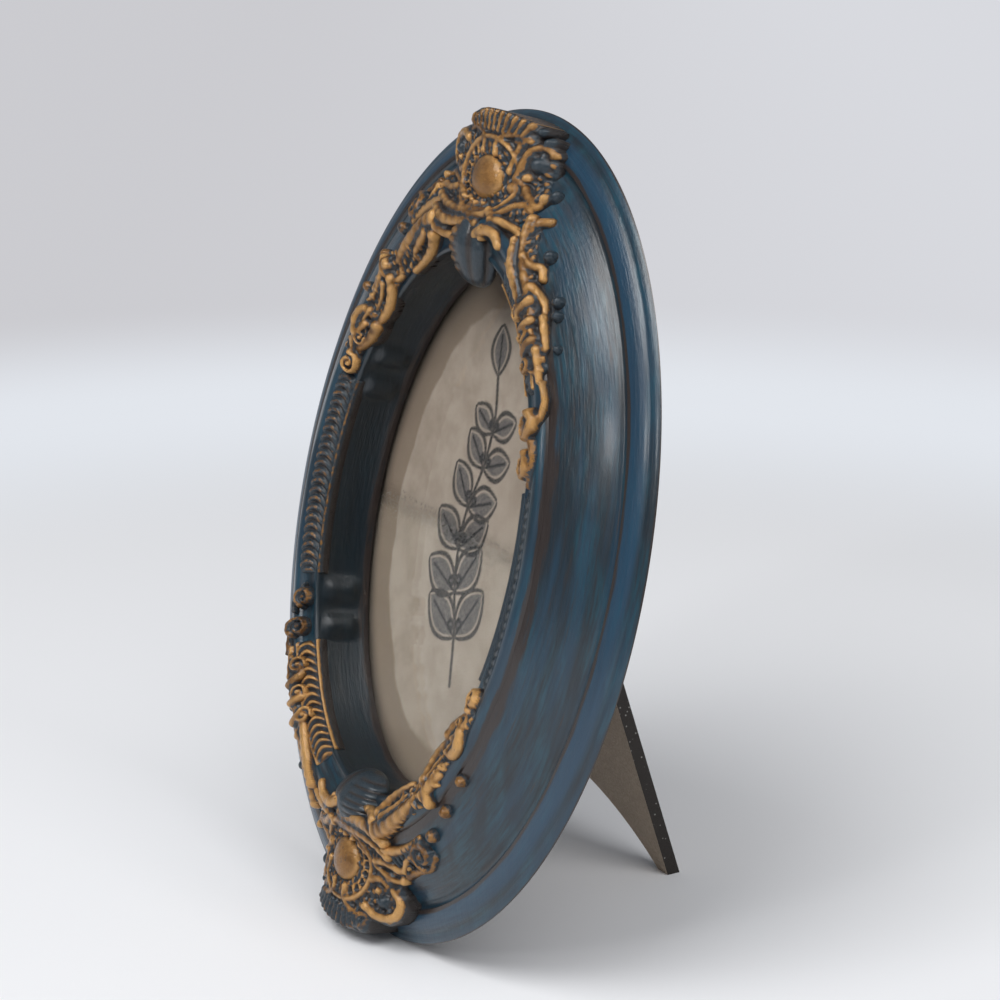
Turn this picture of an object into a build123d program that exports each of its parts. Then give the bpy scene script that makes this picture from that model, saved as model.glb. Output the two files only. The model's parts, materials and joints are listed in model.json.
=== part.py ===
from build123d import *
import os
from math import cos, hypot, pi, radians, sin

os.makedirs("parts", exist_ok=True)

# All sizes are millimetres. The frame is drawn lying on its back: x to the right seen from the front,
# y up the picture, z forwards from the moulding's back face. It is then stood up on its leg.

# Oval moulding, named from the outer edge inwards
outer_width = 140.0
outer_height = 177.5
back_edge_inset = 9.0
side_line_depth = 6.0
side_width = 2.0
side_depth = 7.2
side_bow = 0.2
lip_width = 4.8
lip_depth = 9.2
lip_bow = 0.5
groove_width = 1.8
groove_sink = 0.6
cushion_width = 13.6
cushion_depth = 17.0
cushion_bow = 0.8
crest_width = 4.0
crest_depth = 17.6
crest_bow = 1.2
band_width = 3.2
band_depth = 16.4
band_sink = 0.3
fillet_width = 1.3
fillet_depth = 15.9
fillet_bow = 0.4
cove_width = 1.6
cove_sink = 0.5
sight_lip = 1.2
rabbet_width = 5.0
base_flat_height = 0.85

# What lies in the rabbet, from the front
pane_thickness = 1.4
print_thickness = 0.3
card_thickness = 0.6
board_thickness = 2.0
pane_clearance = 0.9

# Raised ornament
relief = 2.2
cartouche_depth = 17.0
crown_depth = 17.6
boss_width = 10.6
boss_height = 10.0
boss_rise = 1.9
boss_ring_gap = 0.9
boss_ring_radius = 1.1
knob_rise = 2.6
volute_radius = 2.5
volute_wire = 1.15
rib_radius = 1.05
rib_pitch = 1.75
crown_rib_count = 9
crown_rib_radius = 1.5

# Standing pose and easel leg
lean_angle = 13.5
leg_open_angle = 31.5
hinge_height = 24.0
leg_thickness = 3.0
leg_near_side = 11.0
leg_top_width = 22.0
leg_heel_width = 33.0
leg_heel_rise = 19.0
leg_foot_width = 3.6
leg_edge_sink = 3.4
leg_heel_radius = 5.0
leg_top_radius = 3.0
leg_board_gap = 1.0

# Hinge of the leg
leaf_thickness = 0.8
leaf_width = 24.0
leaf_length = 15.0
leaf_corner = 2.0
knuckle_radius = 2.0
knuckle_seat = 0.2
pin_radius = 1.1
pin_overhang = 0.6
middle_knuckle_width = 11.0
knuckle_gap = 0.3
pin_clearance = 0.05
stop_length = 7.0
stop_clearance = 0.12
hinge_clearance = 0.4
rivet_radius = 1.2
rivet_head_radius = 2.1
rivet_head_height = 0.7
rivet_depth = 2.2
rivet_spread = 17.0
rivet_setback = 5.0

# Turn buttons
button_length = 18.0
button_width = 8.0
button_thickness = 0.9
button_pivot_inset = 7.0
button_gap = 0.1
button_clearance = 0.05
screw_radius = 1.5
screw_length = 8.0
screw_head_radius = 2.9
screw_head_height = 1.3
screw_slot_width = 0.8
screw_slot_depth = 0.6

cut_overrun = 5.0

# Places round the oval are shares of a whole turn, from the right-hand side towards the top.
# Places across the face are shares of its width, from the outer edge inwards. A lobe has a turn, a place
# across the face and a radius; a lobe of the drop has a place, a radius and a share of the crest's depth.
button_turn_shares = [0.105, 0.395, 0.605, 0.895]
top_turn_share = 0.25
boss_face_share = 0.505
band_turn_shares = {
    "left_gadroon_band": (0.438, 0.560),
    "lower_left_gadroon_band": (0.598, 0.678),
    "right_gadroon_band": (-0.062, 0.040),
    "upper_right_gadroon_band": (0.090, 0.178),
}
volute_turn_shares = {
    "left_volutes": (0.5702, 0.5890),
    "right_volutes": (0.0566, 0.0768),
}
volute_face_share = 0.83
crown_spread_share = 0.026
crown_face_share = 0.08
cartouche_lobe_shares = [
    (0.0, 0.505, 0.325),
    (0.016, 0.300, 0.215),
    (0.034, 0.360, 0.155),
    (0.030, 0.580, 0.190),
    (0.048, 0.540, 0.130),
]
festoon_lobe_shares = [
    (0.0, 0.750, 0.150),
    (0.020, 0.750, 0.140),
    (0.040, 0.750, 0.120),
]
drop_lobe_shares = [
    (0.77, 0.130, 1.00),
    (0.88, 0.124, 0.94),
    (0.99, 0.110, 0.86),
    (1.08, 0.093, 0.80),
]
left_spray_lobe_shares = [
    (0.058, 0.725, 0.135),
    (0.072, 0.775, 0.125),
    (0.088, 0.725, 0.125),
    (0.103, 0.775, 0.118),
    (0.118, 0.730, 0.112),
    (0.132, 0.780, 0.105),
    (0.146, 0.735, 0.096),
    (0.158, 0.775, 0.087),
    (0.169, 0.750, 0.075),
    (0.179, 0.762, 0.062),
]
left_spray_knob_shares = [
    (0.083, 0.560, 0.085),
]
right_spray_lobe_shares = [
    (0.040, 0.745, 0.127),
    (0.058, 0.700, 0.112),
    (0.071, 0.665, 0.102),
    (0.085, 0.705, 0.102),
    (0.099, 0.690, 0.096),
    (0.113, 0.720, 0.093),
    (0.126, 0.710, 0.087),
    (0.138, 0.730, 0.077),
    (0.149, 0.735, 0.071),
    (0.158, 0.745, 0.062),
]
right_spray_knob_shares = [
    (0.047, 0.560, 0.090),
    (0.070, 0.502, 0.077),
    (0.095, 0.535, 0.074),
    (0.119, 0.575, 0.068),
]

# Lines across the face
lip_inset = side_width + lip_width
groove_inset = lip_inset + groove_width
cushion_inset = groove_inset + cushion_width
crest_inset = cushion_inset + crest_width
band_inset = crest_inset + band_width
fillet_inset = band_inset + fillet_width
face_width = fillet_inset + cove_width
rabbet_depth = pane_thickness + print_thickness + card_thickness + board_thickness
rabbet_inset = face_width - rabbet_width
sight_depth = rabbet_depth + sight_lip
path_half_width = (outer_width - face_width) / 2
path_half_height = (outer_height - face_width) / 2

face_insets = [groove_inset, cushion_inset, (cushion_inset + crest_inset) / 2, crest_inset, band_inset,
               fillet_inset, (fillet_inset + face_width) / 2, face_width]
face_depths = [lip_depth, cushion_depth, crest_depth + crest_bow, crest_depth, band_depth, fillet_depth,
               (fillet_depth + sight_depth) / 2 - cove_sink, sight_depth]


def on_face(turn_share: float, inset: float, depth: float) -> Vector:
    """Point at a turn round the oval, an inset from the outer edge and a depth from the back."""
    angle = 2 * pi * turn_share
    normal_x = path_half_height * cos(angle)
    normal_y = path_half_width * sin(angle)
    out = (face_width / 2 - inset) / hypot(normal_x, normal_y)
    return Vector(path_half_width * cos(angle) + out * normal_x,
                  path_half_height * sin(angle) + out * normal_y, depth)


def face_depth(inset: float) -> float:
    """Depth of the front surface at an inset, straight between the lines of the face."""
    for i in range(len(face_insets) - 1):
        if inset <= face_insets[i + 1]:
            share = (inset - face_insets[i]) / (face_insets[i + 1] - face_insets[i])
            return face_depths[i] + share * (face_depths[i + 1] - face_depths[i])
    return sight_depth


def section_point(inset: float, depth: float) -> Vector:
    """Point of the moulding's section, on the right-hand side of the oval."""
    return Vector(outer_width / 2 - inset, 0, depth)


def bowed(start: Vector, end: Vector, bow: float) -> Edge:
    """Arc between two section points, bowed outwards by a height, or inwards where it is negative."""
    along = (end - start).normalized()
    across = along.cross(Vector(0, 1, 0))
    middle = (start + end) * 0.5 + across * bow
    if middle.Z < (start.Z + end.Z) / 2 and bow > 0:
        middle = (start + end) * 0.5 - across * bow
    if middle.Z > (start.Z + end.Z) / 2 and bow < 0:
        middle = (start + end) * 0.5 - across * bow
    return Edge.make_three_point_arc(start, middle, end)


def swept(edges: list) -> Part:
    """Ring made by carrying a closed section round the oval."""
    path = Edge.make_ellipse(path_half_width, path_half_height)
    return sweep(Face(Wire(edges)), path=path, is_frenet=True)


def make_moulding() -> Part:
    """Oval ring with its rabbet, before the flat it stands on is cut."""
    rabbet_back = section_point(rabbet_inset, 0)
    back = section_point(back_edge_inset, 0)
    widest = section_point(0, side_line_depth)
    side = section_point(side_width, side_depth)
    lip = section_point(lip_inset, lip_depth)
    groove = section_point(groove_inset, lip_depth)
    cushion = section_point(cushion_inset, cushion_depth)
    crest = section_point(crest_inset, crest_depth)
    band = section_point(band_inset, band_depth)
    edge = section_point(fillet_inset, fillet_depth)
    sight = section_point(face_width, sight_depth)
    sight_back = section_point(face_width, rabbet_depth)
    rabbet = section_point(rabbet_inset, rabbet_depth)
    return swept([
        Edge.make_line(rabbet_back, back),
        Edge.make_line(back, widest),
        bowed(widest, side, side_bow),
        bowed(side, lip, lip_bow),
        bowed(lip, groove, -groove_sink),
        bowed(groove, cushion, cushion_bow),
        bowed(cushion, crest, crest_bow),
        bowed(crest, band, -band_sink),
        bowed(band, edge, fillet_bow),
        bowed(edge, sight, -cove_sink),
        Edge.make_line(sight, sight_back),
        Edge.make_line(sight_back, rabbet),
        Edge.make_line(rabbet, rabbet_back),
    ])


def dome(centre: Vector, radius: float, rise: float) -> Part:
    """Round knob of a radius that stands a rise above a point of the face."""
    ball_radius = (radius ** 2 + rise ** 2) / (2 * rise)
    return Pos(centre.X, centre.Y, centre.Z + rise - ball_radius) * Sphere(ball_radius)


def lobe_domes(shares: list, sign: float, rise: float) -> list:
    """Domes at places given as turn, face and radius shares on one side of the top."""
    domes = []
    for turn_share, face_share, radius_share in shares:
        inset = face_share * face_width
        centre = on_face(top_turn_share + sign * turn_share, inset, face_depth(inset))
        domes.append(dome(centre, radius_share * face_width, rise))
    return domes


def fused(solids: list) -> Part:
    """One solid from several that overlap."""
    return solids[0].fuse(*solids[1:])


def disc(radius: float, height: float) -> Part:
    """Round bar that stands on its plane."""
    return Cylinder(radius, height, align=(Align.CENTER, Align.CENTER, Align.MIN))


def make_cartouche() -> Part:
    """Lobed shield with a level front, a ring for its boss, a scalloped crown and a festoon on the crest."""
    plates = []
    plate_height = cartouche_depth - side_line_depth
    for turn_share, face_share, radius_share in cartouche_lobe_shares:
        for sign in (-1, 1):
            root = on_face(top_turn_share + sign * turn_share, face_share * face_width, side_line_depth)
            plates.append(Location(root) * disc(radius_share * face_width, plate_height))
    for i in range(crown_rib_count):
        share = 2 * i / (crown_rib_count - 1) - 1
        turn_share = top_turn_share + share * crown_spread_share
        root = on_face(turn_share, crown_face_share * face_width, side_line_depth)
        plates.append(Location(root) * disc(crown_rib_radius, crown_depth - side_line_depth))
    for sign in (-1, 1):
        plates += lobe_domes(festoon_lobe_shares, sign, relief)
    centre = on_face(top_turn_share, boss_face_share * face_width, cartouche_depth)
    ring_radius = boss_width / 2 + boss_ring_gap + boss_ring_radius
    return fused([*plates, Location(centre) * Torus(ring_radius, boss_ring_radius)])


def make_boss() -> Part:
    """Oval dome in the middle of the cartouche."""
    centre = on_face(top_turn_share, boss_face_share * face_width, cartouche_depth)
    ball = scale(Sphere(1), by=(boss_width / 2, boss_height / 2, boss_rise))
    return Location(centre) * ball


def make_drop() -> Part:
    """Shell that hangs from the cartouche in front of the opening."""
    lobes = []
    for face_share, radius_share, depth_share in drop_lobe_shares:
        centre = on_face(top_turn_share, face_share * face_width, depth_share * crest_depth)
        lobes.append(Location(centre) * Sphere(radius_share * face_width))
    return fused(lobes)


def make_spray(lobes: list, knobs: list, sign: float) -> Part:
    """Leaf spray along the crest on one side of the cartouche, with the knobs on its outer side."""
    domes = lobe_domes(lobes, sign, relief)
    domes += lobe_domes(knobs, sign, knob_rise)
    return fused(domes)


def make_volutes(turn_shares: tuple) -> Part:
    """Pair of scroll ends on the crest."""
    inset = volute_face_share * face_width
    pieces = []
    for turn_share in turn_shares:
        centre = on_face(turn_share, inset, crest_depth)
        pieces.append(Location(centre) * Torus(volute_radius, volute_wire))
        pieces.append(Location(centre) * Sphere(volute_radius))
    return fused(pieces)


def make_band(turn_shares: tuple) -> Part:
    """Row of half-round ribs across the inward band, joined side by side."""
    first = on_face(turn_shares[0], crest_inset, 0)
    last = on_face(turn_shares[1], crest_inset, 0)
    count = round((last - first).length / rib_pitch)
    ribs = []
    for i in range(count):
        share = i / (count - 1)
        turn_share = turn_shares[0] + share * (turn_shares[1] - turn_shares[0])
        top = on_face(turn_share, crest_inset, crest_depth)
        foot = on_face(turn_share, band_inset, band_depth)
        along = foot - top
        ribs.append(Plane(top, z_dir=along) * Cylinder(
            rib_radius, along.length, align=(Align.CENTER, Align.CENTER, Align.MIN)))
    return fused(ribs)


def oval_sheet(back: float, thickness: float) -> Part:
    """Oval sheet that lies in the rabbet with its back at a depth."""
    inset = rabbet_inset + pane_clearance
    outline = Ellipse(outer_width / 2 - inset, outer_height / 2 - inset)
    return Pos(0, 0, back) * extrude(outline, thickness)


def rearward(origin: Vector, x_dir: Vector) -> Plane:
    """Plane behind the frame, facing backwards."""
    return Plane(origin, x_dir=x_dir, z_dir=(0, 0, -1))


def button_plane(turn_share: float) -> Plane:
    """Plane of a turn button's pivot on the back, with x towards the middle of the picture."""
    pivot = on_face(turn_share, rabbet_inset - button_pivot_inset, 0)
    inner = on_face(turn_share, rabbet_inset, 0)
    return rearward(pivot, inner - pivot)


def make_button() -> Part:
    """Flat strip with round ends and a pivot hole, reaching from its pivot towards x."""
    reach = button_length - button_width
    strip = extrude(SlotOverall(button_length, button_width), button_thickness)
    blank = Pos(reach / 2, 0, button_gap) * strip
    return blank - disc(screw_radius + button_clearance, cut_overrun)


def make_screw() -> Part:
    """Round-headed screw with a slot, its shank going into the moulding."""
    seat = 2 * button_gap + button_thickness
    head = Pos(0, 0, seat) * disc(screw_head_radius, screw_head_height)
    head = fillet(head.faces().sort_by(Axis.Z)[-1].edges(), screw_head_height / 2)
    slot = Box(2 * screw_head_radius, screw_slot_width, screw_slot_depth, align=(
        Align.CENTER, Align.CENTER, Align.MAX))
    shank = Pos(0, 0, -screw_length) * disc(screw_radius, screw_length + seat)
    return fused([head, shank]) - Pos(0, 0, seat + screw_head_height) * slot


# Hinge line of the leg, in the frame that lies on its back
hinge_drop = leaf_thickness + knuckle_radius - knuckle_seat
hinge_line = Axis((0, hinge_height, -hinge_drop), (1, 0, 0))
leg_front = -leg_board_gap
leg_back = leg_front - leg_thickness
leg_top = hinge_height - knuckle_radius - hinge_clearance


def opened(folded: Part) -> Part:
    """Piece of the leg, drawn folded flat, turned out to its standing angle."""
    return folded.rotate(hinge_line, leg_open_angle)


def knuckle(middle: float, width: float, bore_radius: float) -> Part:
    """Hollow hinge knuckle about the hinge line, centred on x."""
    tube = Cylinder(knuckle_radius, width) - Cylinder(bore_radius, width)
    return Pos(middle, hinge_height, -hinge_drop) * Rot(0, 90, 0) * tube


def rivet_plane(x: float, y: float, surface: float) -> Plane:
    """Plane of a rivet on a surface that faces backwards."""
    return rearward(Vector(x, y, surface), Vector(1, 0, 0))


def make_rivet(depth: float) -> Part:
    """Round-headed rivet whose shank goes through a leaf and into what lies under it."""
    head = disc(rivet_head_radius, rivet_head_height)
    head = fillet(head.faces().sort_by(Axis.Z)[-1].edges(), rivet_head_height / 2)
    return fused([head, Pos(0, 0, -depth) * disc(rivet_radius, depth)])


def board_rivet_planes() -> list:
    """Planes of the rivets through the back leaf."""
    y = hinge_height + leaf_length - rivet_setback
    return [rivet_plane(sign * rivet_spread / 2, y, -leaf_thickness) for sign in (-1, 1)]


def leg_rivet_planes() -> list:
    """Planes of the rivets through the leg leaf, folded flat."""
    first = hinge_height - knuckle_radius - rivet_setback
    last = hinge_height - leaf_length + rivet_head_radius
    return [rivet_plane(0, y, leg_back - leaf_thickness) for y in (first, last)]


def make_back_leaf() -> Part:
    """Plate on the backing board with two knuckles and a notch for the middle one."""
    plate = Box(leaf_width, leaf_length, leaf_thickness, align=(Align.CENTER, Align.MIN, Align.MAX))
    top_edges = plate.edges().filter_by(Axis.Z).group_by(Axis.Y)[-1]
    plate = Pos(0, hinge_height, 0) * fillet(top_edges, leaf_corner)
    notch_height = knuckle_radius + hinge_clearance
    notch = Box(middle_knuckle_width + 2 * knuckle_gap, 2 * notch_height, cut_overrun)
    plate -= Pos(0, hinge_height, 0) * notch
    outer_width_each = (leaf_width - middle_knuckle_width) / 2 - knuckle_gap
    middle = (leaf_width - outer_width_each) / 2
    for sign in (-1, 1):
        eye = Pos(sign * middle, hinge_height, -hinge_drop) * Rot(0, 90, 0) * Cylinder(
            knuckle_radius, outer_width_each)
        plate += eye
    plate -= Pos(0, hinge_height, -hinge_drop) * Rot(0, 90, 0) * Cylinder(pin_radius, 2 * leaf_width)
    for plane in board_rivet_planes():
        plate -= plane * Pos(0, 0, -rivet_depth) * disc(rivet_radius, rivet_depth + cut_overrun)
    return plate


def make_leg_leaf() -> Part:
    """Plate on the back of the leg, its knuckle, and the stop tab that meets the back leaf."""
    strap = Box(middle_knuckle_width, leaf_length, leaf_thickness, align=(
        Align.CENTER, Align.MAX, Align.MAX))
    low_edges = strap.edges().filter_by(Axis.Z).group_by(Axis.Y)[0]
    strap = Pos(0, hinge_height, leg_back) * fillet(low_edges, leaf_corner)
    for plane in leg_rivet_planes():
        strap -= plane * Pos(0, 0, -rivet_depth) * disc(rivet_radius, rivet_depth + cut_overrun)
    eye = knuckle(0, middle_knuckle_width, pin_radius + pin_clearance)
    bore = Pos(0, hinge_height, -hinge_drop) * Rot(0, 90, 0) * Cylinder(
        pin_radius + pin_clearance, 2 * leaf_width)
    tab = Box(middle_knuckle_width, knuckle_radius + stop_length, leaf_thickness, align=(
        Align.CENTER, Align.MIN, Align.MAX))
    tab = Pos(0, hinge_height, -leaf_thickness - stop_clearance) * tab
    return fused([opened(strap), eye, tab]) - bore


def make_pin() -> Part:
    """Straight hinge pin."""
    return Pos(0, hinge_height, -hinge_drop) * Rot(0, 90, 0) * Cylinder(
        pin_radius, leaf_width + 2 * pin_overhang)


# Standing pose: the back tips away from the front, and the outer edge's lowest line is cut flat
lean = radians(lean_angle)
floor_drop = outer_height / 2 * cos(lean) - side_line_depth * sin(lean) - base_flat_height
hinge_rise = hinge_height * cos(lean) - hinge_drop * sin(lean) + floor_drop
leg_reach = hinge_rise / cos(radians(leg_open_angle - lean_angle))


def make_leg() -> Part:
    """Fibreboard leg with one straight side, a swept far edge and a narrow foot, folded flat."""
    foot = hinge_height - leg_reach
    tip = foot - leg_thickness
    near = leg_near_side
    far_foot = near - leg_foot_width
    heel = Vector(near - leg_heel_width, foot + leg_heel_rise)
    far_top = near - leg_top_width
    lower = Vector(far_foot, foot)
    across = (heel - lower).normalized().cross(Vector(0, 0, 1)) * leg_edge_sink
    edges = [
        Edge.make_line((near, leg_top), (near, tip)),
        Edge.make_line((near, tip), (far_foot, tip)),
        Edge.make_line((far_foot, tip), lower),
        Edge.make_three_point_arc(lower, (lower + heel) * 0.5 + across, heel),
        Edge.make_line(heel, (far_top, leg_top)),
        Edge.make_line((far_top, leg_top), (near, leg_top)),
    ]
    outline = Face(Wire(edges))
    heel_corner = outline.vertices().sort_by_distance(heel)[0]
    outline = fillet(heel_corner, leg_heel_radius)
    top_corners = outline.vertices().group_by(Axis.Y)[-1]
    outline = fillet(top_corners, leg_top_radius)
    leg = Pos(0, 0, leg_back) * extrude(outline, leg_thickness, dir=(0, 0, 1))
    for plane in leg_rivet_planes():
        leg -= plane * Pos(0, 0, -cut_overrun) * disc(rivet_radius, cut_overrun)
    return leg


def build_parts() -> dict:
    """Every piece by name, in the frame that lies on its back with its leg turned out."""
    ring = make_moulding()
    parts = {}

    screws = []
    holes = []
    for i, turn_share in enumerate(button_turn_shares):
        plane = button_plane(turn_share)
        parts[f"turn_button_{i + 1}"] = plane * make_button()
        screws.append(plane * make_screw())
        holes.append(plane * Pos(0, 0, -screw_length) * disc(screw_radius, screw_length + cut_overrun))
    parts["turn_button_screws"] = Compound(children=screws)

    cartouche = make_cartouche() - ring
    boss = make_boss() - cartouche - ring
    drop = make_drop() - cartouche - ring
    left_spray = make_spray(left_spray_lobe_shares, left_spray_knob_shares, 1) - ring - cartouche
    right_spray = make_spray(right_spray_lobe_shares, right_spray_knob_shares, -1) - ring - cartouche
    ornament = {
        ("crest_cartouche", "base_cartouche"): cartouche,
        ("crest_boss", "base_boss"): boss,
        ("crest_drop", "base_drop"): drop,
        ("upper_left_spray", "lower_right_spray"): left_spray,
        ("upper_right_spray", "lower_left_spray"): right_spray,
    }
    for (name, opposite_name), piece in ornament.items():
        parts[name] = piece
        parts[opposite_name] = piece.rotate(Axis.Z, 180)
    sprays = {"left": parts["lower_left_spray"], "right": right_spray}
    for side, spray in sprays.items():
        name = f"{side}_volutes"
        parts[name] = make_volutes(volute_turn_shares[name]) - ring - spray
    for name, turn_shares in band_turn_shares.items():
        side = "left" if "left" in name else "right"
        parts[name] = make_band(turn_shares) - ring - sprays[side] - parts[f"{side}_volutes"]

    board = oval_sheet(0, board_thickness)
    for plane in board_rivet_planes():
        board -= plane * Pos(0, 0, -rivet_depth) * disc(rivet_radius, rivet_depth)
    parts["backing_board"] = board
    parts["filler_card"] = oval_sheet(board_thickness, card_thickness)
    parts["picture_insert"] = oval_sheet(board_thickness + card_thickness, print_thickness)
    parts["glass_pane"] = oval_sheet(rabbet_depth - pane_thickness, pane_thickness)

    parts["hinge_back_leaf"] = make_back_leaf()
    parts["hinge_leg_leaf"] = make_leg_leaf()
    parts["hinge_pin"] = make_pin()
    parts["hinge_board_rivets"] = Compound(
        children=[plane * make_rivet(rivet_depth) for plane in board_rivet_planes()])
    leg_rivets = [opened(plane * make_rivet(leaf_thickness + leg_thickness)) for plane in leg_rivet_planes()]
    parts["hinge_leg_rivets"] = Compound(children=leg_rivets)
    parts["easel_leg"] = opened(make_leg())

    parts["frame_moulding"] = ring - fused(holes)
    return parts


def stand_up(parts: dict) -> dict:
    """Tip the frame back on its leg, cut what stands on the floor flat, and centre the footprint."""
    stood = {name: Rot(90 - lean_angle, 0, 0) * piece for name, piece in parts.items()}
    stood = {name: Pos(0, 0, floor_drop) * piece for name, piece in stood.items()}
    block = 2 * outer_height
    under = Box(block, block, block, align=(Align.CENTER, Align.CENTER, Align.MAX))
    for name in ("frame_moulding", "easel_leg"):
        stood[name] -= under
    boxes = [piece.bounding_box() for piece in stood.values()]
    back = max(box.max.Y for box in boxes)
    front = min(box.min.Y for box in boxes)
    shift = Pos(0, -(back + front) / 2, 0)
    hinge_y = hinge_height * sin(lean) + hinge_drop * cos(lean) - (back + front) / 2
    print("hinge line y, z:", round(hinge_y, 4), round(hinge_rise, 4))
    return {name: shift * piece for name, piece in stood.items()}


for node, solid in stand_up(build_parts()).items():
    export_step(solid, f"parts/{node}.step")
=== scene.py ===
"""Looks of a leaning oval picture frame: gilt rococo relief on brushed blue paint over a brown undercoat.

Lengths are millimetres in the frame's own axes, x to the right seen from the front, y up the picture and
z forwards from the back of the moulding. Placement carries them into the model, which is in metres.
"""

import json
import logging
import math
from dataclasses import dataclass, field
from enum import Enum
from typing import Any

import bpy
import numpy as np
from mathutils import Euler, Matrix, Vector


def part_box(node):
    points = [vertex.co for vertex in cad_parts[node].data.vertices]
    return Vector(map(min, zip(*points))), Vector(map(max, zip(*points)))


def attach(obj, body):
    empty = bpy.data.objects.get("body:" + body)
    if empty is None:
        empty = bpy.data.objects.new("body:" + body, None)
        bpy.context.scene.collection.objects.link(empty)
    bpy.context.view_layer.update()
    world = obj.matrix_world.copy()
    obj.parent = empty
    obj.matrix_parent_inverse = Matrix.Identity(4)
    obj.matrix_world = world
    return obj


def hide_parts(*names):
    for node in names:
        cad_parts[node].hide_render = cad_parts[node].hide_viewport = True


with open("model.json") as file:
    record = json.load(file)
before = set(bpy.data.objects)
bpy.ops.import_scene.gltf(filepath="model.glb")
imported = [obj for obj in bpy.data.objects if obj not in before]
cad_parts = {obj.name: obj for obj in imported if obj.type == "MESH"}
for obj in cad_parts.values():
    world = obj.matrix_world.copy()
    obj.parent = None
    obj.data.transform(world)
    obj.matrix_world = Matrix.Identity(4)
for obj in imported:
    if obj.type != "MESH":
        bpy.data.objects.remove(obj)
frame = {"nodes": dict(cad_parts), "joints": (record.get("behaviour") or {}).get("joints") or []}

Array = np.ndarray
Pair = tuple[float, float]
Points = tuple[Pair, ...]
Colour = tuple[float, float, float]

MM = 0.001
PANE_MIDDLE_DEPTH = 3.6
EYE_SHARE = 0.25
log = logging.getLogger("oval_frame")


class Half(Enum):
    """Which half of the oval a motif lies on. The lower one is the upper one turned by half a turn."""

    UPPER = 1
    LOWER = -1


# Geometry helpers


def bowed(start: Pair, end: Pair, bow: float, count: int) -> Array:
    """Circular arc from start towards end, without its last point.

    With a chord c and a height h the radius is (c*c/4 + h*h) / 2h, and the arc turns through twice the
    angle whose tangent is 2h/c on each side of its middle.

    Args:
        start: First point, as inset and depth.
        end: Last point, as inset and depth.
        bow: Height of the arc over its chord, towards the outside where positive.
        count: Number of points.

    Returns:
        Array of count points.
    """
    start = np.array(start, float)
    chord = np.array(end, float) - start
    length = float(np.hypot(*chord))
    along = chord / length
    across = np.array((-along[1], along[0]))
    share = np.linspace(0.0, 1.0, count, endpoint=False)
    if bow == 0.0:
        return start + share[:, None] * chord
    height = abs(bow)
    radius = (length * length / 4 + height * height) / (2 * height)
    swing = 2 * math.atan2(2 * height, length)
    angle = (2 * share - 1) * swing
    run = length / 2 + radius * np.sin(angle)
    lift = math.copysign(1.0, bow) * (radius * np.cos(angle) - radius + height)
    return start + run[:, None] * along + lift[:, None] * across


def smooth_line(points: Points, count: int) -> Array:
    """Catmull-Rom curve through given points, each span a cubic set by its two neighbours.

    Args:
        points: Points that the curve passes through.
        count: Number of points returned.

    Returns:
        Array of count points in the plane of the face.
    """
    knots = np.array(points, float)
    knots = np.vstack((2 * knots[0] - knots[1], knots, 2 * knots[-1] - knots[-2]))
    place = np.linspace(0.0, len(points) - 1.0, count)
    span = np.minimum(place.astype(int), len(points) - 2)
    t = (place - span)[:, None]
    a, b, c, d = (knots[span + i] for i in range(4))
    square = 2 * a - 5 * b + 4 * c - d
    cube = 3 * b - a - 3 * c + d
    return 0.5 * (2 * b + (c - a) * t + square * t ** 2 + cube * t ** 3)


def spiral(centre: Pair, radius: float, start: float, turns: float, count: int = 16) -> Array:
    """Scroll end: the radius shrinks evenly to a quarter while the angle runs on.

    Args:
        centre: Eye of the scroll.
        radius: Outer radius.
        start: First angle in degrees.
        turns: Number of turns, negative for clockwise.
        count: Number of points.

    Returns:
        Array of points from the outside to the eye.
    """
    share = np.linspace(0.0, 1.0, count)
    angle = np.radians(start) + 2 * math.pi * turns * share
    reach = radius * (1 - (1 - EYE_SHARE) * share)
    return np.column_stack((centre[0] + reach * np.cos(angle), centre[1] + reach * np.sin(angle)))


def softened(field_values: Array, passes: int) -> Array:
    """Field blurred by a one-two-one kernel along both of its axes, a number of times."""
    for _ in range(passes):
        padded = np.pad(field_values, 1, mode="edge")
        rows = (padded[:-2] + 2 * padded[1:-1] + padded[2:]) / 4
        field_values = (rows[:, :-2] + 2 * rows[:, 1:-1] + rows[:, 2:]) / 4
    return field_values


def eased(values: Array, low: float, high: float) -> Array:
    """Smooth step from 0 at low to 1 at high."""
    t = np.clip((values - low) / (high - low), 0.0, 1.0)
    return t * t * (3 - 2 * t)


@dataclass(frozen=True)
class Placement:
    """Where the frame's own axes lie in the model.

    Attributes:
        origin: Middle of the moulding's back face, in metres.
        axes: Rows are the directions of x, y and z.
    """

    origin: Array
    axes: Array

    @classmethod
    def from_frame(cls, pane_middle_depth: float) -> "Placement":
        """Reads the lean from a turn button's pivot and the middle from the glass pane.

        Args:
            pane_middle_depth: Depth of the middle of the pane from the back face.

        Returns:
            The placement.
        """
        pivot = next(j for j in frame["joints"] if j["name"] == "turn_button_1_swivel")
        forward = -np.array(pivot["axis"], float)
        forward /= np.linalg.norm(forward)
        right = np.array((1.0, 0.0, 0.0))
        low, high = (np.array(corner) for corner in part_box("glass_pane"))
        origin = (low + high) / 2 - forward * pane_middle_depth * MM
        return cls(origin, np.vstack((right, np.cross(forward, right), forward)))

    def to_model(self, points: Array) -> Array:
        """Points of the frame's own axes carried into the model, never below what it stands on."""
        placed = self.origin + MM * np.asarray(points, float) @ self.axes
        placed[:, 2] = np.maximum(placed[:, 2], 0.0)
        return placed


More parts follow.
